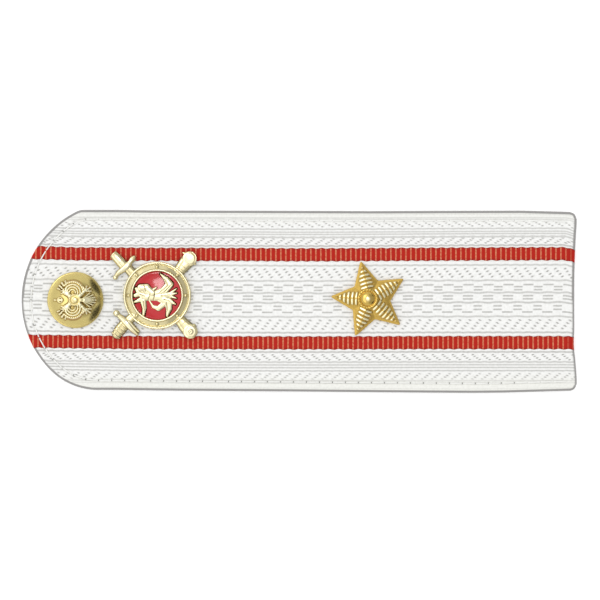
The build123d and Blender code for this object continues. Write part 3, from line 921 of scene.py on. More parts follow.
# A profile of (radius, height) points turned round a centre, closed by small caps at both ends
def latheParts(profile, turns, centre=(0, 0)):
    profile = np.asarray(profile)
    angle = np.linspace(0, 2 * math.pi, turns, endpoint=False)
    radius = profile[:, 0][:, None]
    x = centre[0] + radius * np.cos(angle)
    y = centre[1] + radius * np.sin(angle)
    z = np.broadcast_to(profile[:, 1][:, None], x.shape)
    return np.stack([x, y, z], axis=-1).reshape(-1, 3), tubeFaces(len(profile), turns)


# An arc of (radius, height) points, angles in degrees from the horizontal
def arc(centreR, centreZ, reachR, reachZ, start, end, steps):
    turn = np.radians(np.linspace(start, end, steps))
    return [(centreR + reachR * math.cos(t), centreZ + reachZ * math.sin(t)) for t in turn]


# Rounds the corners of a row of stations
def softened(stations):
    line = np.array(stations, dtype=float)
    for _ in range(2):
        cut = np.stack([0.75 * line[:-1] + 0.25 * line[1:], 0.25 * line[:-1] + 0.75 * line[1:]], axis=1)
        line = np.concatenate([line[:1], cut.reshape(-1, line.shape[1]), line[-1:]])
    return line


# A cast bar: stations of (x, y, half width, height) with a flat foot and a rounded back. Its ends
# round out by a reach in shares of the half width.
def barParts(stations, sides=18, fullness=2.6, reach=0.4):
    stations = softened(stations)
    rounded = []
    for end, step in ((0, 1), (-1, -1)):
        x, y, width, height = stations[end]
        back = stations[end][:2] - stations[end + step][:2]
        back = back / np.linalg.norm(back)
        cap = []
        for grow in np.radians((80, 55, 28)):
            out = width * math.sin(grow) * reach
            share = math.cos(grow)
            cap.append((x + back[0] * out, y + back[1] * out, width * share, height * (0.55 + 0.45 * share)))
        rounded.append(cap)
    stations = np.array(rounded[0] + stations.tolist() + rounded[1][::-1])
    heading = np.gradient(stations[:, :2], axis=0)
    heading = heading / np.linalg.norm(heading, axis=1)[:, None]
    across = np.stack([-heading[:, 1], heading[:, 0]], axis=1)
    turn = np.linspace(0, math.pi, sides)
    sideways = np.sign(np.cos(turn)) * np.abs(np.cos(turn)) ** (2 / fullness)
    upwards = 0.12 + 0.88 * np.sin(turn) ** (2 / fullness)
    points = []
    for (x, y, width, height), (sideX, sideY) in zip(stations, across):
        points += [(x + sideX * width * s, y + sideY * width * s, height * u) for s, u in zip(sideways, upwards)]
        points += [(x - sideX * width, y - sideY * width, 0.0), (x + sideX * width, y + sideY * width, 0.0)]
    return np.array(points), tubeFaces(len(stations), sides + 2)


# Several closed shells as one list of points and faces
def joinParts(parts):
    points, faces, base = [], [], 0
    for partPoints, partFaces in parts:
        points.append(np.asarray(partPoints))
        faces += [[base + k for k in face] for face in outward(partPoints, partFaces)]
        base += len(partPoints)
    return np.concatenate(points), faces


# Gilt: thin gold on cast or stamped brass, with grain from the die, dark oxide and painted shade in its hollows and
# round raised work, paler metal where it rubs and as a painted highlight on crests and tops, and a stippled ground
# from the die ("matte")
giltWear = {
    "toneScale": 420.0,
    "toneShare": 0.1,  # how much oxide clouds the plain metal
    "matteRoughness": 0.6,
}


def giltMaterial(name, metal):
    material, tree, shader = startMaterial(name, {"Metallic": 1.0, "Roughness": metal["roughness"]})
    place = addNode(tree, "ShaderNodeTexCoord").outputs["Object"]
    patinaAndShade, rubAndHighlight, matte = (
        addNode(tree, "ShaderNodeAttribute", attribute_name=name).outputs["Fac"]
        for name in ("patinaAndShade", "rubAndHighlight", "matte")
    )
    tone = addNode(tree, "ShaderNodeTexNoise", {
        "Vector": place, "Scale": giltWear["toneScale"], "Detail": 2.0,
    }).outputs["Fac"]
    tint = addNode(tree, "ShaderNodeMapRange", {
        0: tone, 1: 0.35, 2: 0.7, 3: 0.0, 4: giltWear["toneShare"],
    }).outputs[0]
    dark = addNode(tree, "ShaderNodeMath", {0: patinaAndShade, 1: tint}, operation="ADD", use_clamp=True).outputs[0]
    colour = linearColour(metal["gold"])
    for share, name in ((dark, "oxide"), (rubAndHighlight, "pale")):
        colour = addNode(tree, "ShaderNodeMix", {
            0: share, 6: colour, 7: linearColour(metal[name]),
        }, data_type="RGBA").outputs[2]
    tree.links.new(colour, shader.inputs["Base Color"])
    dulled = addNode(tree, "ShaderNodeMapRange", {
        0: matte, 1: 0.0, 2: 1.0, 3: metal["roughness"], 4: giltWear["matteRoughness"],
    }).outputs[0]
    tree.links.new(dulled, shader.inputs["Roughness"])
    grain = addNode(tree, "ShaderNodeTexNoise", {
        "Vector": place, "Scale": 1 / (metal["grainSize"] * mm), "Detail": 2.0,
    }).outputs["Fac"]
    bump = addNode(tree, "ShaderNodeBump", {
        "Height": grain, "Strength": 0.5, "Distance": metal["grainRise"] * mm,
    }).outputs["Normal"]
    tree.links.new(bump, shader.inputs["Normal"])
    return material


faceHeight = board["thickness"] + 0.05  # the fittings' seat


# Button: a stamped dome with a rolled rim and a spread eagle whose heads point to -X
button = {
    "centre": (-56.5, 0.25),
    "radius": 7.1,
    "height": 3.6,
    "wall": 0.6,
    "rim": 0.35,
    "relief": 0.68,
    "grid": 200,
    "spread": 1.08,  # how much larger than drawn the eagle stands, and how much fuller its strokes
    "fullness": 1.15,
    "gold": "#D8C680",
    "oxide": "#7E5C1A",
    "pale": "#FFF8D2",
    "roughness": 0.22,
    "grainSize": 0.12,
    "grainRise": 0.005,
}


# Strokes along an arc, angles in degrees from +X
def arcStrokes(centreX, centreY, reach, start, end, radius, rise, count=8):
    turns = np.radians(np.linspace(start, end, count + 1))
    points = [(centreX + reach * math.cos(t), centreY + reach * math.sin(t)) for t in turns]
    return [Stroke(*a, radius, *b, radius, rise) for a, b in zip(points, points[1:])]


eagleHalf = [
    Stroke(-0.10, 0.08, 0.085, -0.20, 0.19, 0.070, 0.80),  # neck
    Stroke(-0.22, 0.21, 0.088, -0.27, 0.245, 0.092, 1.05),  # head
    Stroke(-0.30, 0.30, 0.045, -0.25, 0.385, 0.016, 0.90),  # beak
    Stroke(-0.36, 0.24, 0.030, -0.36, 0.36, 0.028, 0.80),  # small crown
    Stroke(-0.37, 0.24, 0.026, -0.43, 0.21, 0.024, 0.85),
    Stroke(-0.37, 0.30, 0.026, -0.45, 0.30, 0.024, 0.85),
    Stroke(-0.37, 0.36, 0.026, -0.43, 0.39, 0.024, 0.85),
    Stroke(-0.42, 0.41, 0.034, -0.50, 0.47, 0.040, 0.85),  # wing's finger feathers
    Stroke(-0.36, 0.47, 0.034, -0.42, 0.56, 0.042, 0.85),
    Stroke(-0.27, 0.52, 0.034, -0.31, 0.62, 0.040, 0.80),
    Stroke(-0.48, 0.35, 0.028, -0.56, 0.38, 0.036, 0.80),
    Stroke(0.16, 0.12, 0.070, 0.27, 0.21, 0.060, 0.85),  # leg
    Stroke(0.27, 0.22, 0.055, 0.35, 0.30, 0.050, 0.95),
    Stroke(0.36, 0.31, 0.032, 0.29, 0.42, 0.030, 0.90),  # claws
    Stroke(0.38, 0.32, 0.034, 0.40, 0.45, 0.034, 1.00),
    Stroke(0.40, 0.31, 0.034, 0.51, 0.41, 0.036, 1.00),
    Stroke(0.40, 0.29, 0.032, 0.54, 0.29, 0.034, 0.90),
    Stroke(0.20, 0.00, 0.070, 0.34, 0.00, 0.070, 0.75),  # tail
    Stroke(0.30, 0.05, 0.030, 0.50, 0.22, 0.036, 0.80),
    Stroke(0.32, 0.03, 0.030, 0.60, 0.16, 0.036, 0.85),
    Stroke(0.34, 0.02, 0.030, 0.66, 0.08, 0.036, 0.90),
    Stroke(0.34, 0.00, 0.030, 0.68, 0.00, 0.036, 0.95),
    Stroke(-0.40, 0.00, 0.040, -0.49, 0.00, 0.050, 1.05),  # boss above the heads
    Stroke(-0.62, 0.00, 0.040, -0.66, 0.00, 0.042, 0.70),
    *arcStrokes(-0.47, 0.0, 0.085, 0, 180, 0.022, 0.75, 6),
    *arcStrokes(-0.06, 0.25, 0.10, -10, 170, 0.034, 0.75),  # rows of wing feathers
    *arcStrokes(-0.06, 0.25, 0.18, -20, 160, 0.036, 0.85),
    *arcStrokes(-0.06, 0.25, 0.265, -16, 152, 0.038, 0.90),
    *arcStrokes(-0.06, 0.25, 0.355, -8, 140, 0.040, 0.80),
]
wing = {
    "centre": (-0.06, 0.25),
    "reach": 0.425,
    "start": -14.0,  # angles of the fan, in degrees
    "end": 150.0,
    "soft": 0.02,
    "fanSoft": 0.03,
    "rise": 0.42,
    "barbs": 30,
    "barbDepth": 0.18,
}
shield = {
    "centreX": 0.01,
    "radius": 0.205,
    "taper": 0.25,  # how much it narrows towards the tail
    "rise": 0.6,
    "rim": 0.87,  # a raised rim, and a lower field inside it
    "rimHalf": 0.13,
    "field": 0.86,
    "bossShare": 0.5,
    "bossRise": 0.22,
}
eagle = mirroredStrokes([
    stroke._replace(r0=stroke.r0 * button["fullness"], r1=stroke.r1 * button["fullness"]) for stroke in eagleHalf
])


# The eagle's height over the dome, from 0 to about 1, in shares of the button's radius
def eagleHeight(x, y):
    x, y = x / button["spread"], y / button["spread"]
    height = reliefHeight(x, y, eagle, 1.0)
    fromWing = x - wing["centre"][0], np.abs(y) - wing["centre"][1]
    reach = np.hypot(*fromWing)
    turn = np.degrees(np.arctan2(fromWing[1], fromWing[0]))
    fan = (turn - wing["start"]) / (wing["end"] - wing["start"])
    within = np.clip((wing["reach"] - reach) / wing["soft"], 0, 1)
    within = within * np.clip(fan / wing["fanSoft"], 0, 1) * np.clip((1 - fan) / wing["fanSoft"], 0, 1)
    barbs = 1 - wing["barbDepth"] * (1 - np.abs(np.cos(fan * wing["barbs"] * math.pi / 2)))
    height = np.maximum(height, wing["rise"] * within) * np.where(within > 0, barbs, 1.0)
    away = np.hypot(x - shield["centreX"], y * (1 + shield["taper"] * x)) / shield["radius"]
    plate = np.where(np.abs(away - shield["rim"]) < shield["rimHalf"], 1.0, shield["field"])
    plate = plate * np.clip((1 - away) / 0.06, 0, 1)
    raised = plate + shield["bossRise"] * np.sqrt(np.clip(1 - (away / shield["bossShare"]) ** 2, 0, 1))
    return np.where(away < 1, np.maximum(shield["rise"] * raised, height * (away > 0.9)), height)


def makeButton():
    x, y, faces, rim = discGrid(button["grid"])
    foot = button["radius"] - button["rim"]
    rise = button["height"] - 2 * button["rim"]
    ball = (foot ** 2 + rise ** 2) / (2 * rise)
    centreZ = button["height"] - ball
    shareX, shareY = x * foot / button["radius"], y * foot / button["radius"]
    x, y = x * foot, y * foot
    dome = centreZ + np.sqrt(ball ** 2 - x ** 2 - y ** 2)
    relief = eagleHeight(shareX, shareY)
    z = dome + button["relief"] * relief
    inner = ball - button["wall"]
    rings = arc(foot, button["rim"], button["rim"], button["rim"], 75, -90, 12)
    rings += [(foot - button["wall"], 0.0)]
    rings += [(r, centreZ + math.sqrt(inner ** 2 - r ** 2)) for r in (5.6, 4.4, 2.8, 1.2, 0.05)]
    points, faces = closedDisc(x, y, z, faces, rim, rings)
    points = points + [*button["centre"], faceHeight]
    patinaAndShade, rubAndHighlight = np.zeros(len(points)), np.zeros(len(points))
    # Painted shade round the raised work, with some oxide, and a painted highlight on its tops
    patinaAndShade[:len(x)] = np.clip(1.25 - relief / 0.6, 0, 1) * eagleShade(shareX, shareY)
    rubAndHighlight[:len(x)] = 0.9 * np.clip((relief - 0.5) / 0.35, 0, 1)
    # Satin gilt: a soft, warm shine, with painted brown shade round the raised work and a painted highlight on its
    # tops
    gilt = giltMaterial("button_satin_gilt", button)
    return makeObject("button_stamped_cap", points, faces, gilt, values={"patinaAndShade": patinaAndShade, "rubAndHighlight": rubAndHighlight})


# Painted shade, with some oxide, gathers close round the raised work
def eagleShade(x, y):
    shade = np.zeros_like(x)
    for shiftX, shiftY in ((0.035, 0), (-0.035, 0), (0, 0.035), (0, -0.035), (0.025, 0.025), (-0.025, -0.025)):
        shade = shade + (eagleHeight(x + shiftX, y + shiftY) > 0.25) / 6
    return shade


seat(makeButton(), "button_cap")


# Emblem: crossed weapons behind a ring with two beads, eight rivets and a sloping channel
emblem = {
    "centre": (-35.8, 1.4),
    "ringRadius": 8.55,
    "ringBead": 0.64,
    "innerBead": 0.6,
    "enamelRadius": 6.05,
    "enamelLow": 0.95,
    "enamelThickness": 0.55,
    "enamelDome": 0.42,
    "floor": 0.9,
    "channelLow": 0.8,
    "channelHigh": 1.45,
    "outerBeadHeight": 1.3,
    "innerBeadHeight": 1.75,
    "rivetCircle": 7.2,
    "rivetRadius": 0.42,
    "rivetFoot": 1.1,
    "rivetCount": 8,
    "figureHeight": 1.85,
    "turns": 330,
    "gold": "#EADDAC",
    "oxide": "#2E220A",
    "pale": "#FBF6DC",
    "roughness": 0.17,
    "grainSize": 0.3,
    "grainRise": 0.004,
    "enamelGrid": 60,
    "enamelRed": "#B80812",
    "enamelCloud": "#CC1420",
    "enamelRoughness": 0.08,
}

# Bars of the crossed weapons: how dark, how far the ends round out, and stations of (x, y, half width,
# height), in millimetres from the emblem's centre
weaponBars = [
    (0.15, 0.4, [(-5.2, 4.4, 1.3, 0.9), (-7.4, 6.9, 1.25, 1.0)]),  # straight sword's ricasso
    (0.12, 0.25, [(-8.2, 7.3, 1.3, 1.05), (-9.4, 8.6, 1.3, 1.15), (-10.4, 9.7, 1.2, 1.15),
                  (-11.15, 10.45, 1.08, 1.05)]),  # grip
    (0.08, 0.6, [(-10.5, 4.75, 0.48, 0.95), (-9.95, 5.6, 0.62, 1.05), (-8.85, 6.4, 0.8, 1.2),
                 (-7.55, 7.4, 1.05, 1.35), (-6.85, 8.45, 0.62, 1.15), (-6.25, 9.25, 0.85, 1.05),
                 (-5.7, 9.8, 0.45, 0.9)]),  # its guard
    (0.15, 0.4, [(-5.1, -4.4, 1.25, 0.9), (-7.2, -6.3, 1.2, 1.0)]),  # sabre's ricasso
    (0.22, 0.7, [(-7.9, -6.8, 1.4, 0.85), (-8.8, -8.0, 1.5, 0.88), (-9.7, -9.1, 1.48, 0.88),
                 (-10.4, -10.0, 1.25, 0.85)]),  # grip
    (0.08, 0.6, [(-9.95, -4.85, 0.5, 0.95), (-9.0, -5.7, 0.75, 1.1), (-7.6, -7.05, 1.0, 1.35),
                 (-6.3, -8.6, 0.75, 1.15), (-4.95, -9.9, 0.42, 0.9)]),  # its guard, with a second prong
    (0.08, 0.6, [(-7.2, -6.6, 0.62, 1.15), (-5.95, -7.9, 0.5, 1.05), (-4.6, -9.2, 0.36, 0.85)]),
    (0.08, 0.9, [(4.6, 5.1, 1.45, 0.95), (5.7, 6.4, 1.5, 1.0), (6.8, 7.8, 1.8, 1.0),
                 (8.1, 9.25, 1.84, 0.95)]),  # upper scabbard
    (0.05, 0.6, [(7.6, 10.4, 0.5, 1.0), (6.95, 10.55, 0.42, 0.95), (6.45, 10.85, 0.22, 0.8)]),  # scrolls at its end
    (0.05, 0.6, [(9.1, 8.4, 0.55, 0.95), (9.6, 7.9, 0.36, 0.85)]),
    (0.0, 0.6, [(8.9, 10.95, 0.2, 1.15), (9.75, 10.15, 0.24, 1.2), (9.9, 9.2, 0.24, 1.2),
                (9.5, 8.3, 0.2, 1.15)]),  # its rim
    (0.08, 0.9, [(4.8, -5.2, 1.4, 0.95), (5.9, -6.4, 1.45, 1.0), (7.0, -7.7, 1.75, 1.0),
                 (8.3, -9.05, 1.84, 0.95)]),  # lower one
    (0.05, 0.6, [(8.9, -8.1, 0.75, 1.0), (9.45, -7.6, 0.6, 0.9)]),
]
# Raised bands across the grips and scabbards: start, end, how many, half width and thickness
Band = namedtuple("Band", "x0 y0 x1 y1 count half thick height")
weaponBands = [
    Band(-8.1, -7.15, -10.45, -10.1, 5, 1.42, 0.27, 1.3),  # sabre's grip
    Band(-8.5, 7.65, -9.3, 8.5, 2, 1.3, 0.2, 1.34),  # straight sword's grip, near its guard and at its pommel
    Band(-10.5, 9.75, -11.05, 10.4, 2, 1.15, 0.15, 1.28),
    Band(5.3, 6.0, 6.5, 7.4, 3, 1.55, 0.18, 1.25),  # upper scabbard
    Band(5.2, -5.7, 6.5, -7.1, 3, 1.5, 0.18, 1.25),  # lower scabbard
]
# Flat round scabbard ends: place, radius, and the radius of a fine ring round a dot
weaponDiscs = [((8.15, 9.3), 1.84, 0.0), ((8.35, -9.1), 1.86, 0.45)]
# Balls at the ends of the guards: place, radius, height, how dark
weaponBalls = [((-10.55, 4.55), 0.62, 1.05, 0.1), ((-10.3, -4.5), 0.82, 1.2, 0.15)]


def makeWeapons():
    parts, shades = [], []
    for shade, reach, stations in weaponBars:
        parts.append(barParts(stations, reach=reach))
        shades.append(shade)
    for band in weaponBands:
        start, end = np.array(band[:2]), np.array(band[2:4])
        heading = end - start if band.count > 1 else start
        side = np.array([-heading[1], heading[0]]) / np.linalg.norm(heading)
        for share in np.linspace(0, 1, band.count):
            middle = start + share * (end - start)
            stations = [
                (*(middle + side * band.half * out), band.thick, band.height * high)
                for out, high in ((-0.86, 0.75), (0, 1), (0.86, 0.75))
            ]
            parts.append(barParts(stations, sides=10, fullness=2.0))
            shades.append(0.0)
    for centre, radius, ringReach in weaponDiscs:
        profile = [(0.05, 1.14)]
        if ringReach:
            profile = [(0.05, 1.24), (0.12, 1.22), (0.2, 1.12)] + arc(ringReach, 1.1, 0.12, 0.1, 180, 0, 6)
        profile += [(radius * 0.55, 1.12), (radius * 0.8, 1.06)] + arc(radius - 0.3, 0.7, 0.3, 0.3, 80, 0, 6)
        parts.append(latheParts(profile + [(radius, 0.0), (0.05, 0.0)], 48, centre))
        shades.append(0.0)
    for centre, radius, height, shade in weaponBalls:
        profile = arc(0, height - radius * 0.7, radius, radius * 0.7, 88, 0, 9) + [(radius, 0.0), (0.05, 0.0)]
        parts.append(latheParts(profile, 40, centre))
        shades.append(shade)
    shade = np.concatenate([np.full(len(points), tone) for (points, _), tone in zip(parts, shades)])
    points, faces = joinParts(parts)
    # Painted shade low down the bars' sides
    lowSideShade = 0.6 * np.clip((0.85 - points[:, 2]) / 0.3, 0, 1)
    return points, faces, np.maximum(shade, lowSideShade)


# A ring of beads: Geometry Nodes set one flattened ball at each point of a circle
def beadTree():
    tree, source = startTree("bead_ring", [
        ("Count", "Int"), ("Ring Radius", "Float"), ("Bead Radius", "Float"), ("Bead Height", "Float"),
        ("Centre", "Vector"), ("Material", "Material"),
    ])
    ring = addNode(tree, "GeometryNodeMeshCircle", {"Vertices": source["Count"], "Radius": source["Ring Radius"]})
    placed = addNode(tree, "GeometryNodeTransform", {"Geometry": ring.outputs[0], "Translation": source["Centre"]})
    ball = addNode(tree, "GeometryNodeMeshUVSphere", {"Segments": 16, "Rings": 8, "Radius": source["Bead Radius"]})
    ratio = addNode(tree, "ShaderNodeMath", {0: source["Bead Height"], 1: source["Bead Radius"]}, operation="DIVIDE")
    squash = addNode(tree, "ShaderNodeCombineXYZ", {"X": 1.0, "Y": 1.0, "Z": ratio.outputs[0]})
    bead = addNode(tree, "GeometryNodeTransform", {"Geometry": ball.outputs[0], "Scale": squash.outputs[0]})
    shaded = addNode(tree, "GeometryNodeSetShadeSmooth", {"Geometry": bead.outputs[0]})
    beads = addNode(tree, "GeometryNodeInstanceOnPoints", {
        "Points": placed.outputs[0], "Instance": shaded.outputs[0],
    })
    return endTree(tree, beads.outputs[0], source["Material"])


beadRing = beadTree()


def makeBeads(name, centre, height, count, ring, bead, rise, material):
    return applyTree(addObject(name, bpy.data.meshes.new(name)), beadRing, {
        "Count": count, "Ring Radius": ring * mm, "Bead Radius": bead * mm, "Bead Height": rise * mm,
        "Centre": (centre[0] * mm, centre[1] * mm, height * mm), "Material": material,
    })


# Joins pieces into the first one
def fuse(pieces):
    first = pieces[0]
    chosen = {"selected_objects": pieces, "selected_editable_objects": pieces}
    with bpy.context.temp_override(active_object=first, object=first, **chosen):
        bpy.ops.object.join()
    return first


# Rider on a rearing horse with a blown cloak, heads towards the button, in shares of the enamel's radius
rider = [
    Stroke(-0.56, -0.05, 0.150, 0.14, -0.05, 0.165, 0.80),  # horse's barrel
    Stroke(-0.58, 0.02, 0.140, -0.74, 0.10, 0.105, 0.78),  # neck
    Stroke(-0.74, 0.10, 0.100, -0.86, 0.28, 0.060, 0.80),  # head
    Stroke(-0.78, 0.05, 0.085, -0.90, 0.00, 0.070, 0.72),
    Stroke(-0.62, -0.14, 0.095, -0.92, -0.27, 0.038, 0.68),  # fore legs
    Stroke(-0.58, -0.20, 0.120, -0.52, -0.52, 0.080, 0.75),
    Stroke(-0.52, -0.52, 0.080, -0.56, -0.80, 0.045, 0.75),
    Stroke(0.08, -0.08, 0.160, 0.44, -0.26, 0.170, 0.75),  # hind legs
    Stroke(0.30, -0.34, 0.110, 0.06, -0.54, 0.095, 0.70),
    Stroke(0.06, -0.54, 0.090, -0.16, -0.46, 0.060, 0.66),
    Stroke(-0.16, -0.46, 0.055, -0.31, -0.22, 0.034, 0.62),
    Stroke(0.46, -0.26, 0.170, 0.50, -0.54, 0.115, 0.70),
    Stroke(0.50, -0.54, 0.110, 0.42, -0.84, 0.040, 0.70),
    Stroke(-0.20, 0.10, 0.140, -0.42, 0.27, 0.155, 1.00),  # rider's body
    Stroke(-0.44, 0.31, 0.165, -0.68, 0.33, 0.130, 1.00),  # head and helmet
    Stroke(-0.36, 0.34, 0.080, -0.20, 0.20, 0.060, 0.90),  # arm
    Stroke(-0.20, 0.20, 0.060, -0.02, 0.34, 0.030, 0.85),
    Stroke(-0.10, 0.08, 0.100, 0.32, 0.22, 0.130, 0.85),  # cloak
    Stroke(0.32, 0.22, 0.150, 0.52, 0.46, 0.150, 0.88),
    Stroke(0.52, 0.46, 0.150, 0.40, 0.66, 0.100, 0.84),
    Stroke(0.40, 0.66, 0.095, 0.14, 0.90, 0.020, 0.80),
    Stroke(0.10, 0.00, 0.090, 0.56, 0.04, 0.105, 0.75),  # tail
    Stroke(0.56, 0.08, 0.070, 0.80, 0.28, 0.022, 0.72),
    Stroke(0.56, 0.04, 0.070, 0.82, 0.10, 0.022, 0.72),
    Stroke(0.56, -0.02, 0.070, 0.80, -0.12, 0.022, 0.72),
    Stroke(0.50, -0.20, 0.110, 0.76, -0.36, 0.026, 0.72),
]
# Lines cut into it: mane, saddle, folds of the cloak and strands of the tail
riderLines = [
    Stroke(-0.58, 0.10, 0.026, -0.74, 0.18, 0.018),
    Stroke(-0.52, -0.02, 0.026, -0.68, 0.04, 0.018),
    Stroke(-0.14, -0.18, 0.026, -0.08, 0.06, 0.020),
    Stroke(-0.36, -0.18, 0.026, -0.28, 0.06, 0.020),
    Stroke(0.14, 0.14, 0.028, 0.46, 0.40, 0.022),
    Stroke(0.46, 0.40, 0.022, 0.32, 0.68, 0.016),
    Stroke(0.34, 0.16, 0.028, 0.60, 0.44, 0.018),
    Stroke(0.16, -0.02, 0.024, 0.52, 0.03, 0.018),
    Stroke(0.40, -0.30, 0.026, 0.44, -0.66, 0.016),
    Stroke(0.30, -0.16, 0.026, 0.56, -0.24, 0.016),
    Stroke(-0.46, 0.18, 0.028, -0.54, 0.46, 0.018),
    Stroke(-0.56, -0.24, 0.024, -0.52, -0.62, 0.016),
]
figure = {
    "cell": 0.062,
    "grow": 0.36,
    "side": 0.32,  # how far in from its edge the figure rises
    "lineDepth": 0.09,
    "bulge": 0.3,
    "outline": 0.27,  # width of the painted shadow that outlines the figure
    "shadowOutlineSoft": 0.08,
}


# The raised figure as a height over a square grid, kept where it stands above the enamel
def riderParts():
    scale = emblem["enamelRadius"]
    count = int(2 * scale / figure["cell"])
    line = (np.arange(count + 1) - count / 2) * figure["cell"]
    x, y = (a.ravel() for a in np.meshgrid(line, line, indexing="ij"))
    inside = np.full_like(x, -1.0)
    height = np.zeros_like(x)
    for stroke in rider:
        depth, away = strokeReach(x, y, stroke, scale)
        depth = depth + figure["grow"]
        slope = np.clip(depth / figure["side"], -1, 1)
        back = np.sqrt(np.clip(1 - np.clip(away, 0, 1) ** 2, 0, 1))
        lift = stroke.rise * (slope * (1 - figure["bulge"]) + figure["bulge"] * back)
        height = np.where(depth > 0, np.maximum(height, lift), height)
        inside = np.maximum(inside, depth)
    lines = reliefHeight(x, y, riderLines, scale)
    low = emblem["enamelLow"] + 0.2
    high = emblem["figureHeight"] + 0.12
    z = low + (high - low) * height - figure["lineDepth"] * lines * (height > 0.3)
    z = np.where(inside > 0, z, low)
    grid = quadFaces(count + 1, count + 1, closed=False)
    faces = [face for face in grid if all(inside[k] > -0.02 for k in face)]
    used = sorted({k for face in faces for k in face})
    renumber = {k: n for n, k in enumerate(used)}
    faces = [[renumber[k] for k in face] for face in faces]
    x, y, z, inside, lines = (a[used] for a in (x, y, z, inside, lines))
    directed = {(face[k], face[(k + 1) % 4]) for face in faces for k in range(4)}
    shift = len(x)
    walls = [[b, a, a + shift, b + shift] for a, b in directed if (b, a) not in directed]
    bottom = [[k + shift for k in face[::-1]] for face in faces]
    points = np.concatenate([
        np.stack([x, y, z], axis=1),
        np.stack([x, y, np.full_like(x, emblem["floor"])], axis=1),
    ])
    # Painted shadow as a dark outline round the figure, and painted shade in its cut lines
    patinaAndShade = np.clip(1 - (inside - figure["outline"]) / figure["shadowOutlineSoft"], 0, 1)
    patinaAndShade = np.maximum(patinaAndShade, 0.4 * lines)
    patinaAndShade = np.concatenate([patinaAndShade, np.ones(shift)])
    return points, faces + walls + bottom, patinaAndShade


# The ring's section from its floor outwards, with the painted shade in its creases and the painted highlight on its
# beads' crests at each point
def ringProfile():
    radius, bead, innerBead = emblem["ringRadius"], emblem["ringBead"], emblem["innerBead"]
    outer = radius - bead
    inner = emblem["enamelRadius"] + 0.05
    foot = inner + innerBead
    low, high = emblem["channelLow"], emblem["channelHigh"] - 0.1
    shelf = low + 0.12
    points = [(0.05, emblem["floor"]), (inner, emblem["floor"]), (inner, high - 0.1)]
    points += arc(inner + innerBead / 2, high, innerBead / 2, emblem["innerBeadHeight"] - high, 180, 0, 13)
    steps = np.linspace(0, 1, 9)
    points += [(foot + 0.03 + (outer - foot - 0.06) * s, high + (low - high) * s - 0.02) for s in steps]
    points += arc(radius - bead / 2, shelf, bead / 2, emblem["outerBeadHeight"] - shelf, 180, 0, 13)
    points += [(radius, 0.5), (radius, 0.1), (radius - 0.1, 0.0), (0.05, 0.0)]
    reach, height = np.array(points).T
    creaseShade = np.exp(-((reach - outer) / 0.09) ** 2) + np.exp(-((reach - foot) / 0.07) ** 2)
    crestHighlight = np.exp(-((reach - outer - bead * 0.5) / 0.12) ** 2) * (height > 1.0)
    crestHighlight = crestHighlight + np.exp(-((reach - inner - innerBead * 0.5) / 0.14) ** 2) * (height > 1.5)
    return points, 0.4 * creaseShade, 0.6 * crestHighlight


def makeEmblem():
    # Bright gilt: pale and sharp, with painted shade nearly black in its deepest hollows and round the figure, and
    # painted highlights on its tops
    gilt = giltMaterial("emblem_bright_gilt", emblem)
    profile, creaseShade, crestHighlight = ringProfile()
    ring, ringFaces = latheParts(profile, emblem["turns"])
    patinaAndShade, rubAndHighlight = (np.repeat(a, emblem["turns"]) for a in (creaseShade, crestHighlight))
    turn = np.arctan2(ring[:, 1], ring[:, 0]) * emblem["rivetCount"] / (2 * math.pi)
    sideways = (turn - np.round(turn)) * 2 * math.pi / emblem["rivetCount"] * emblem["rivetCircle"]
    away = np.hypot(np.hypot(ring[:, 0], ring[:, 1]) - emblem["rivetCircle"], sideways)
    # Painted shadow in a ring round each rivet
    patinaAndShade = np.maximum(patinaAndShade, 0.4 * np.clip(1 - np.abs(away - emblem["rivetRadius"] - 0.06) / 0.2, 0, 1))
    weapons, weaponFaces, weaponShade = makeWeapons()
    figurePoints, figureFaces, figureShade = riderParts()
    points, faces = joinParts([(ring, ringFaces), (weapons, weaponFaces), (figurePoints, figureFaces)])
    points = points + [*emblem["centre"], faceHeight]
    # Painted highlight on the weapons' tops and over the figure's face
    armHighlight = 0.4 * np.clip((weapons[:, 2] - 0.95) / 0.2, 0, 1) * (weaponShade < 0.2)
    patinaAndShade = np.concatenate([patinaAndShade, weaponShade, figureShade])
    rubAndHighlight = np.concatenate([rubAndHighlight, armHighlight, 0.25 * (figureShade < 0.05)])
    casting = makeObject("emblem_casting", points, faces, gilt, values={"patinaAndShade": patinaAndShade, "rubAndHighlight": rubAndHighlight})
    rivets = makeBeads(
        "emblem_rivets", emblem["centre"], faceHeight + emblem["rivetFoot"], emblem["rivetCount"],
        emblem["rivetCircle"], emblem["rivetRadius"], emblem["rivetRadius"], gilt,
    )
    return fuse([casting, rivets])


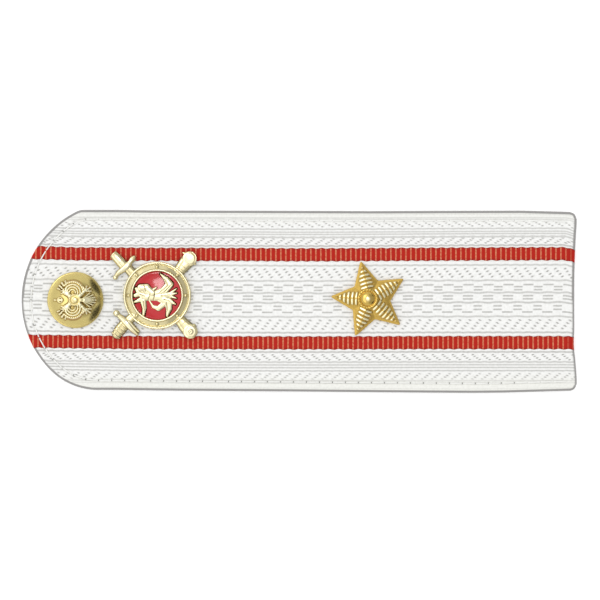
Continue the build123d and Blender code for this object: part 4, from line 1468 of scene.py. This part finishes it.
# Hard enamel: fired glass, so a clear gloss over a slightly cloudy red, with a raised lip at its edge
def makeEnamel():
    material, tree, shader = startMaterial("red_hard_enamel", {
        "Roughness": emblem["enamelRoughness"],
        "IOR": 1.52,
    })
    place = addNode(tree, "ShaderNodeTexCoord").outputs["Object"]
    cloud = addNode(tree, "ShaderNodeTexNoise", {"Vector": place, "Scale": 260.0, "Detail": 2.0}).outputs["Fac"]
    colour = addNode(tree, "ShaderNodeMix", {
        0: cloud, 6: linearColour(emblem["enamelRed"]), 7: linearColour(emblem["enamelCloud"]),
    }, data_type="RGBA").outputs[2]
    tree.links.new(colour, shader.inputs["Base Color"])
    x, y, faces, rim = discGrid(emblem["enamelGrid"])
    radius, low = emblem["enamelRadius"], emblem["enamelLow"]
    reach = np.hypot(x, y)
    lip = 0.06 * np.clip((reach - 0.93) / 0.07, 0, 1) ** 2
    z = low + emblem["enamelThickness"] + 0.1 - emblem["enamelDome"] * reach ** 2 + lip
    points, faces = closedDisc(x * radius, y * radius, z, faces, rim, [(radius, low), (0.05, low)])
    points = points + [*emblem["centre"], faceHeight]
    return makeObject("emblem_enamel_fill", points, faces, material)


seat(makeEmblem(), "emblem_body")
seat(makeEnamel(), "emblem_enamel")


# Star: stamped, with ridged arms, cross ribs, a plain border and a beaded hub
star = {
    "centre": (18.0, 0.38),
    "radius": 10.15,
    "notchRadius": 5.13,
    "turn": 175.8,
    "points": 5,
    "tipRadius": 0.3,
    "edge": 0.5,
    "ridge": 2.3,
    "wall": 0.5,
    "border": 0.52,
    "crossCurve": 1.9,  # how flat the arms' backs are across
    "rimWidth": 0.42,  # a nearly flat rim runs round the arms
    "rimRise": 0.1,
    # Painted shade along the arms' outer rim
    "rimPaintedShade": 0.05,
    "ribPitch": 1.02,
    "ribStart": 2.95,
    "ribCount": 7,
    "ribWidth": 0.62,
    "ribRise": 0.24,
    "ribHalfLength": 1.85,
    "ribBend": 0.05,
    # Oxide and painted shade in the sunk ground between ribs
    "ribGroundOxideAndShade": 0.42,
    "groundDepth": 0.06,  # how far the ribs' ground is sunk
    "hubCentre": (17.4, 0.55),
    "hubRadius": 2.6,
    "hubHeight": 2.15,
    "domeRadius": 1.85,
    "domeHeight": 0.95,
    "beads": 20,
    "beadRadius": 0.22,
    "beadInset": 0.28,
    "edgeSteps": 48,
    "depthSteps": 110,
    "gold": "#D2B25E",
    "oxide": "#8E6A1C",
    "pale": "#FBF3C8",
    "roughness": 0.2,
    "grainSize": 0.16,
    "grainRise": 0.006,
}
starStep = math.pi / star["points"]
notchAlong = star["notchRadius"] * math.cos(starStep)
notchAcross = star["notchRadius"] * math.sin(starStep)
tipHalf = math.atan2(notchAcross, star["radius"] - notchAlong)  # half the angle of a tip


def starCorners():
    corners = []
    for k in range(2 * star["points"]):
        reach = star["notchRadius"] if k % 2 else star["radius"]
        angle = math.radians(star["turn"] + 180 * k / star["points"])
        corners.append((reach * math.cos(angle), reach * math.sin(angle)))
    return np.array(corners)


# The star's outline, with its tips rounded
def starOutline():
    corners = starCorners()
    share = np.linspace(0, 1, star["edgeSteps"], endpoint=False)[:, None]
    outline = np.concatenate([a + share * (b - a) for a, b in zip(corners, np.roll(corners, -1, axis=0))])
    middle = star["radius"] - star["tipRadius"] / math.sin(tipHalf)
    for k in range(star["points"]):
        angle = math.radians(star["turn"] + 360 * k / star["points"])
        pointing = np.array([math.cos(angle), math.sin(angle)])
        beyond = outline @ pointing > middle + star["tipRadius"] * math.sin(tipHalf)
        direction = outline[beyond] - middle * pointing
        length = np.linalg.norm(direction, axis=1)[:, None]
        outline[beyond] = middle * pointing + direction / length * star["tipRadius"]
    return outline


# How far each point lies from the nearest edge and from the nearest arm's middle line, and how far out
def starPlaces(x, y):
    step = 360 / star["points"]
    arm = np.round((np.degrees(np.arctan2(y, x)) - star["turn"]) / step)
    turn = np.radians(star["turn"] + arm * step)
    along = x * np.cos(turn) + y * np.sin(turn)
    across = np.abs(-x * np.sin(turn) + y * np.cos(turn))
    reach = (star["radius"] - along) * math.sin(tipHalf)
    border = reach - across * math.cos(tipHalf)
    hub = np.subtract(star["hubCentre"], star["centre"])
    fromHub = along - hub[0] * np.cos(turn) - hub[1] * np.sin(turn)
    return along, across, border, reach, fromHub


# The face's height, and where it is ribbed, sunk, given a painted highlight and given painted shade
def starHeight(x, y):
    along, across, border, reach, fromHub = starPlaces(x, y)
    full = star["radius"] * notchAcross / math.hypot(star["radius"] - notchAlong, notchAcross)
    rim = star["rimWidth"]
    share = np.clip((border - rim) / np.maximum(reach - rim, 1e-6), 0, 1)
    rise = star["ridge"] - star["edge"] - star["rimRise"]
    ridge = rise * np.clip((reach - rim) / (full - rim), 0, 1) * (1 - (1 - share) ** star["crossCurve"])
    straight = rise * np.clip((border - rim) / (full - rim), 0, 1)
    blend = np.clip((along - 2.4) / 1.6, 0, 1)  # the hub hides where the arms meet
    base = star["edge"] + star["rimRise"] * np.clip(border / rim, 0, 1) + blend * ridge + (1 - blend) * straight
    within = np.clip((border - star["border"]) / 0.14, 0, 1)
    within = within * np.clip((star["ribHalfLength"] - across) / 0.3, 0, 1)
    step = (fromHub - star["ribStart"]) / star["ribPitch"] + star["ribBend"] * across ** 2
    nearest = np.clip(np.round(step), 0, star["ribCount"] - 1)
    away = np.abs(step - nearest) * star["ribPitch"] / (star["ribWidth"] / 2)
    rib = np.sqrt(np.clip(1 - away ** 3, 0, 1)) * within
    sunk = within * (fromHub > star["ribStart"] - 0.6)
    # Painted highlight, as rubbed metal, on each half, but not along the middle line
    highlightAcross = np.clip((1.8 - across) / 0.5, 0.1, 1) * np.clip((across - 0.1) / 0.18, 0.2, 1)
    rimShade = star["rimPaintedShade"] * np.clip((rim + 0.08 - border) / 0.08, 0, 1)
    return base - star["groundDepth"] * sunk + star["ribRise"] * rib, rib, sunk, highlightAcross, rimShade


def makeStar():
    # Deep gilt: yellower metal, with a stippled ground between ribs, and ribs rubbed bright with a painted highlight
    gilt = giltMaterial("star_deep_gilt", star)
    outline = starOutline()
    depth = np.concatenate([np.linspace(0.01, 0.985, star["depthSteps"]), [1.0]])
    x, y = depth[:, None] * outline[:, 0], depth[:, None] * outline[:, 1]
    z, rib, sunk, highlightAcross, rimShade = starHeight(x, y)
    z[-1] = star["edge"]
    # Oxide and painted shade in the ground, painted shade along the rim, and a painted highlight on the ribs
    patinaAndShade = np.maximum(star["ribGroundOxideAndShade"] * np.clip(1 - rib * 1.6, 0, 1) * sunk, rimShade).ravel()
    rubAndHighlight = (highlightAcross * np.clip((rib - 0.55) / 0.25, 0, 1)).ravel()
    matte = np.clip(1 - rib * 2, 0, 1).ravel()
    count = len(outline)
    inner = 1 - 2 * star["wall"] / star["notchRadius"]
    # The edge's wall, the foot, and the shell's inner face, by share of the outline and height
    under = ((1, star["edge"] * 0.4), (0.995, 0.0), (inner, 0.0), (0.02, star["ridge"] - 2 * star["wall"]))
    rings = [np.stack([x, y, z], axis=-1).reshape(-1, 3)]
    rings += [np.c_[outline * share, np.full(count, height)] for share, height in under]
    body = np.concatenate(rings) + [*star["centre"], faceHeight]
    radius, high, dome = star["hubRadius"], star["hubHeight"], star["domeRadius"]
    hub = [(0.05, 0.4), (radius, 0.4), (radius, high - 0.14), (radius - 0.08, high)]
    hub += [(dome + 0.14, high), (dome + 0.06, high - 0.1), (dome, high - 0.08)]
    hub += arc(0, high - 0.05, dome, star["domeHeight"] + 0.05, 6, 88, 18)
    hubPoints, hubFaces = latheParts(hub[::-1], 96)
    away = np.hypot(*hubPoints[:, :2].T)
    hubPoints = hubPoints + [*star["hubCentre"], faceHeight]
    points, faces = joinParts([(body, tubeFaces(len(depth) + len(under), count)), (hubPoints, hubFaces)])
    blank = np.zeros(len(under) * count)
    # The hub: painted shade in the crease round its dome, and a painted highlight on the dome's top
    values = {
        "patinaAndShade": np.concatenate([patinaAndShade, blank, 0.35 * np.clip(1 - np.abs(away - dome - 0.06) / 0.1, 0, 1)]),
        "rubAndHighlight": np.concatenate([rubAndHighlight, blank, np.exp(-(away / 0.5) ** 2)]),
        "matte": np.concatenate([matte, blank + 1, np.zeros(len(hubPoints))]),
    }
    stamping = makeObject("star_stamping", points, faces, gilt, values=values)
    beads = makeBeads(
        "star_beads", star["hubCentre"], faceHeight + high, star["beads"], radius - star["beadInset"],
        star["beadRadius"], star["beadRadius"] * 0.8, gilt,
    )
    return fuse([stamping, beads])


seat(makeStar(), "star")

# Plain brass: dull and brownish, since the posts were never polished
postFinish = {
    "gold": "#B39A5A",
    "oxide": "#5A4520",
    "pale": "#B39A5A",
    "roughness": 0.35,
    "grainSize": 0.2,
    "grainRise": 0.01,
}
postBrass = giltMaterial("post_plain_brass", postFinish)
for name in ("button_post", "emblem_post", "star_post"):
    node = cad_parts[name]
    node.data.materials.clear()
    node.data.materials.append(postBrass)


# Studio: the photograph's camera, white paper, and cards that only the metal mirrors

studio = {
    "pixelsPerMm": 3.954,  # the photograph's scale, and the pixel over the row's origin
    "centrePixel": (298.9, 301.0),
    "image": 600,
    "lens": 150.0,
    "sensor": 36,
    "world": 0.93,
    "paper": "#FDFDFD",
    "paperGlow": 0.3,
    "paperReach": 3.0,
    "cardDistance": 1.1,
}


# A sheet of the studio, in metres, with its own plain finish
def studioSheet(name, points, faces, finish):
    mesh = bpy.data.meshes.new(name)
    mesh.from_pydata(points, [], faces)
    mesh.materials.append(startMaterial(name, {"Emission Color": (1, 1, 1, 1), **finish})[0])
    sheet = addObject(name, mesh)
    return sheet


# White paper: matt, and lit so evenly that its edge doesn't show
side = studio["paperReach"]
corners = [(-side, -side, 0), (side, -side, 0), (side, side, 0), (-side, side, 0)]
studioSheet("studio_paper", corners, [(0, 1, 2, 3)], {
    "Base Color": linearColour(studio["paper"]),
    "Roughness": 0.9,
    "Emission Strength": studio["paperGlow"],
})


# A card on a wide dome round the board. The metal mirrors it, and it neither lights nor shades the cloth.
def studioCard(name, azimuths, elevations, tone, taper):
    turn, lift = np.meshgrid(np.linspace(-1, 1, 17), np.linspace(0, 1, 9), indexing="ij")
    lift = np.radians(elevations[0] + (elevations[1] - elevations[0]) * lift * (1 - taper * turn ** 2))
    turn = np.radians((azimuths[0] + azimuths[1]) / 2 + (azimuths[1] - azimuths[0]) / 2 * turn)
    points = np.stack([np.cos(lift) * np.cos(turn), np.cos(lift) * np.sin(turn), np.sin(lift)], axis=-1)
    points = (studio["cardDistance"] * points).reshape(-1, 3).tolist()
    # A black card that glows evenly, so that it shows in metal as a soft patch of light or shade
    card = studioSheet(name, points, quadFaces(17, 9, closed=False), {
        "Base Color": (0, 0, 0, 1),
        "Specular IOR Level": 0.0,
        "Emission Strength": tone,
    })
    card.visible_camera = card.visible_diffuse = card.visible_shadow = False


# Name, azimuths and elevations in degrees (0 is +X), brightness, and how far the ends taper
studioCards = [
    ("flag_right_front", (-62, -8), (-2, 26), 0.05, 0.6),
    ("flag_right_back", (10, 62), (-2, 26), 0.05, 0.6),
    ("flag_right_middle", (-8, 10), (-2, 24), 0.28, 0.0),
    ("grey_card_right", (-75, 75), (28, 74), 0.55, 0.3),
    ("card_overhead", (0, 360), (74, 90), 1.35, 0.0),
    ("reflector_left", (100, 240), (40, 66), 1.9, 0.2),
]
for card in studioCards:
    studioCard(*card)
print("studio:", len(studioCards), "cards")

cameraData = bpy.data.cameras.new("camera")
cameraData.lens = studio["lens"]
cameraData.sensor_width = studio["sensor"]
camera = addObject("camera", cameraData)
away = studio["image"] / studio["pixelsPerMm"] * studio["lens"] / studio["sensor"]
middle = studio["image"] / 2
camera.location = (
    (middle - studio["centrePixel"][0]) / studio["pixelsPerMm"] * mm,
    (studio["centrePixel"][1] - middle) / studio["pixelsPerMm"] * mm,
    (board["thickness"] + away) * mm,
)
cameraData.clip_start = 0.01
cameraData.clip_end = 10
bpy.context.scene.camera = camera

world = bpy.data.worlds.new("studio_world")
world.use_nodes = True
world.node_tree.nodes.clear()
sky = addNode(world.node_tree, "ShaderNodeBackground", {"Color": (1, 1, 1, 1), "Strength": studio["world"]})
addNode(world.node_tree, "ShaderNodeOutputWorld", {"Surface": sky.outputs[0]})
bpy.context.scene.world = world
bpy.context.scene.view_settings.view_transform = "Standard"

# Name, place in metres, width, depth and power; each faces the board
softboxes = [
    ("softbox_left", (-0.42, 0.34, 0.62), 0.3, 0.3, 0.5),
    ("softbox_overhead", (-0.05, 0.13, 0.9), 0.13, 0.13, 0.4),
]
for label, place, width, depth, power in softboxes:
    light = bpy.data.lights.new(label, "AREA")
    light.shape = "RECTANGLE"
    light.size = width
    light.size_y = depth
    light.energy = power
    lamp = addObject(label, light)
    lamp.location = place
    lamp.rotation_euler = (-lamp.location).to_track_quat("-Z", "Y").to_euler()
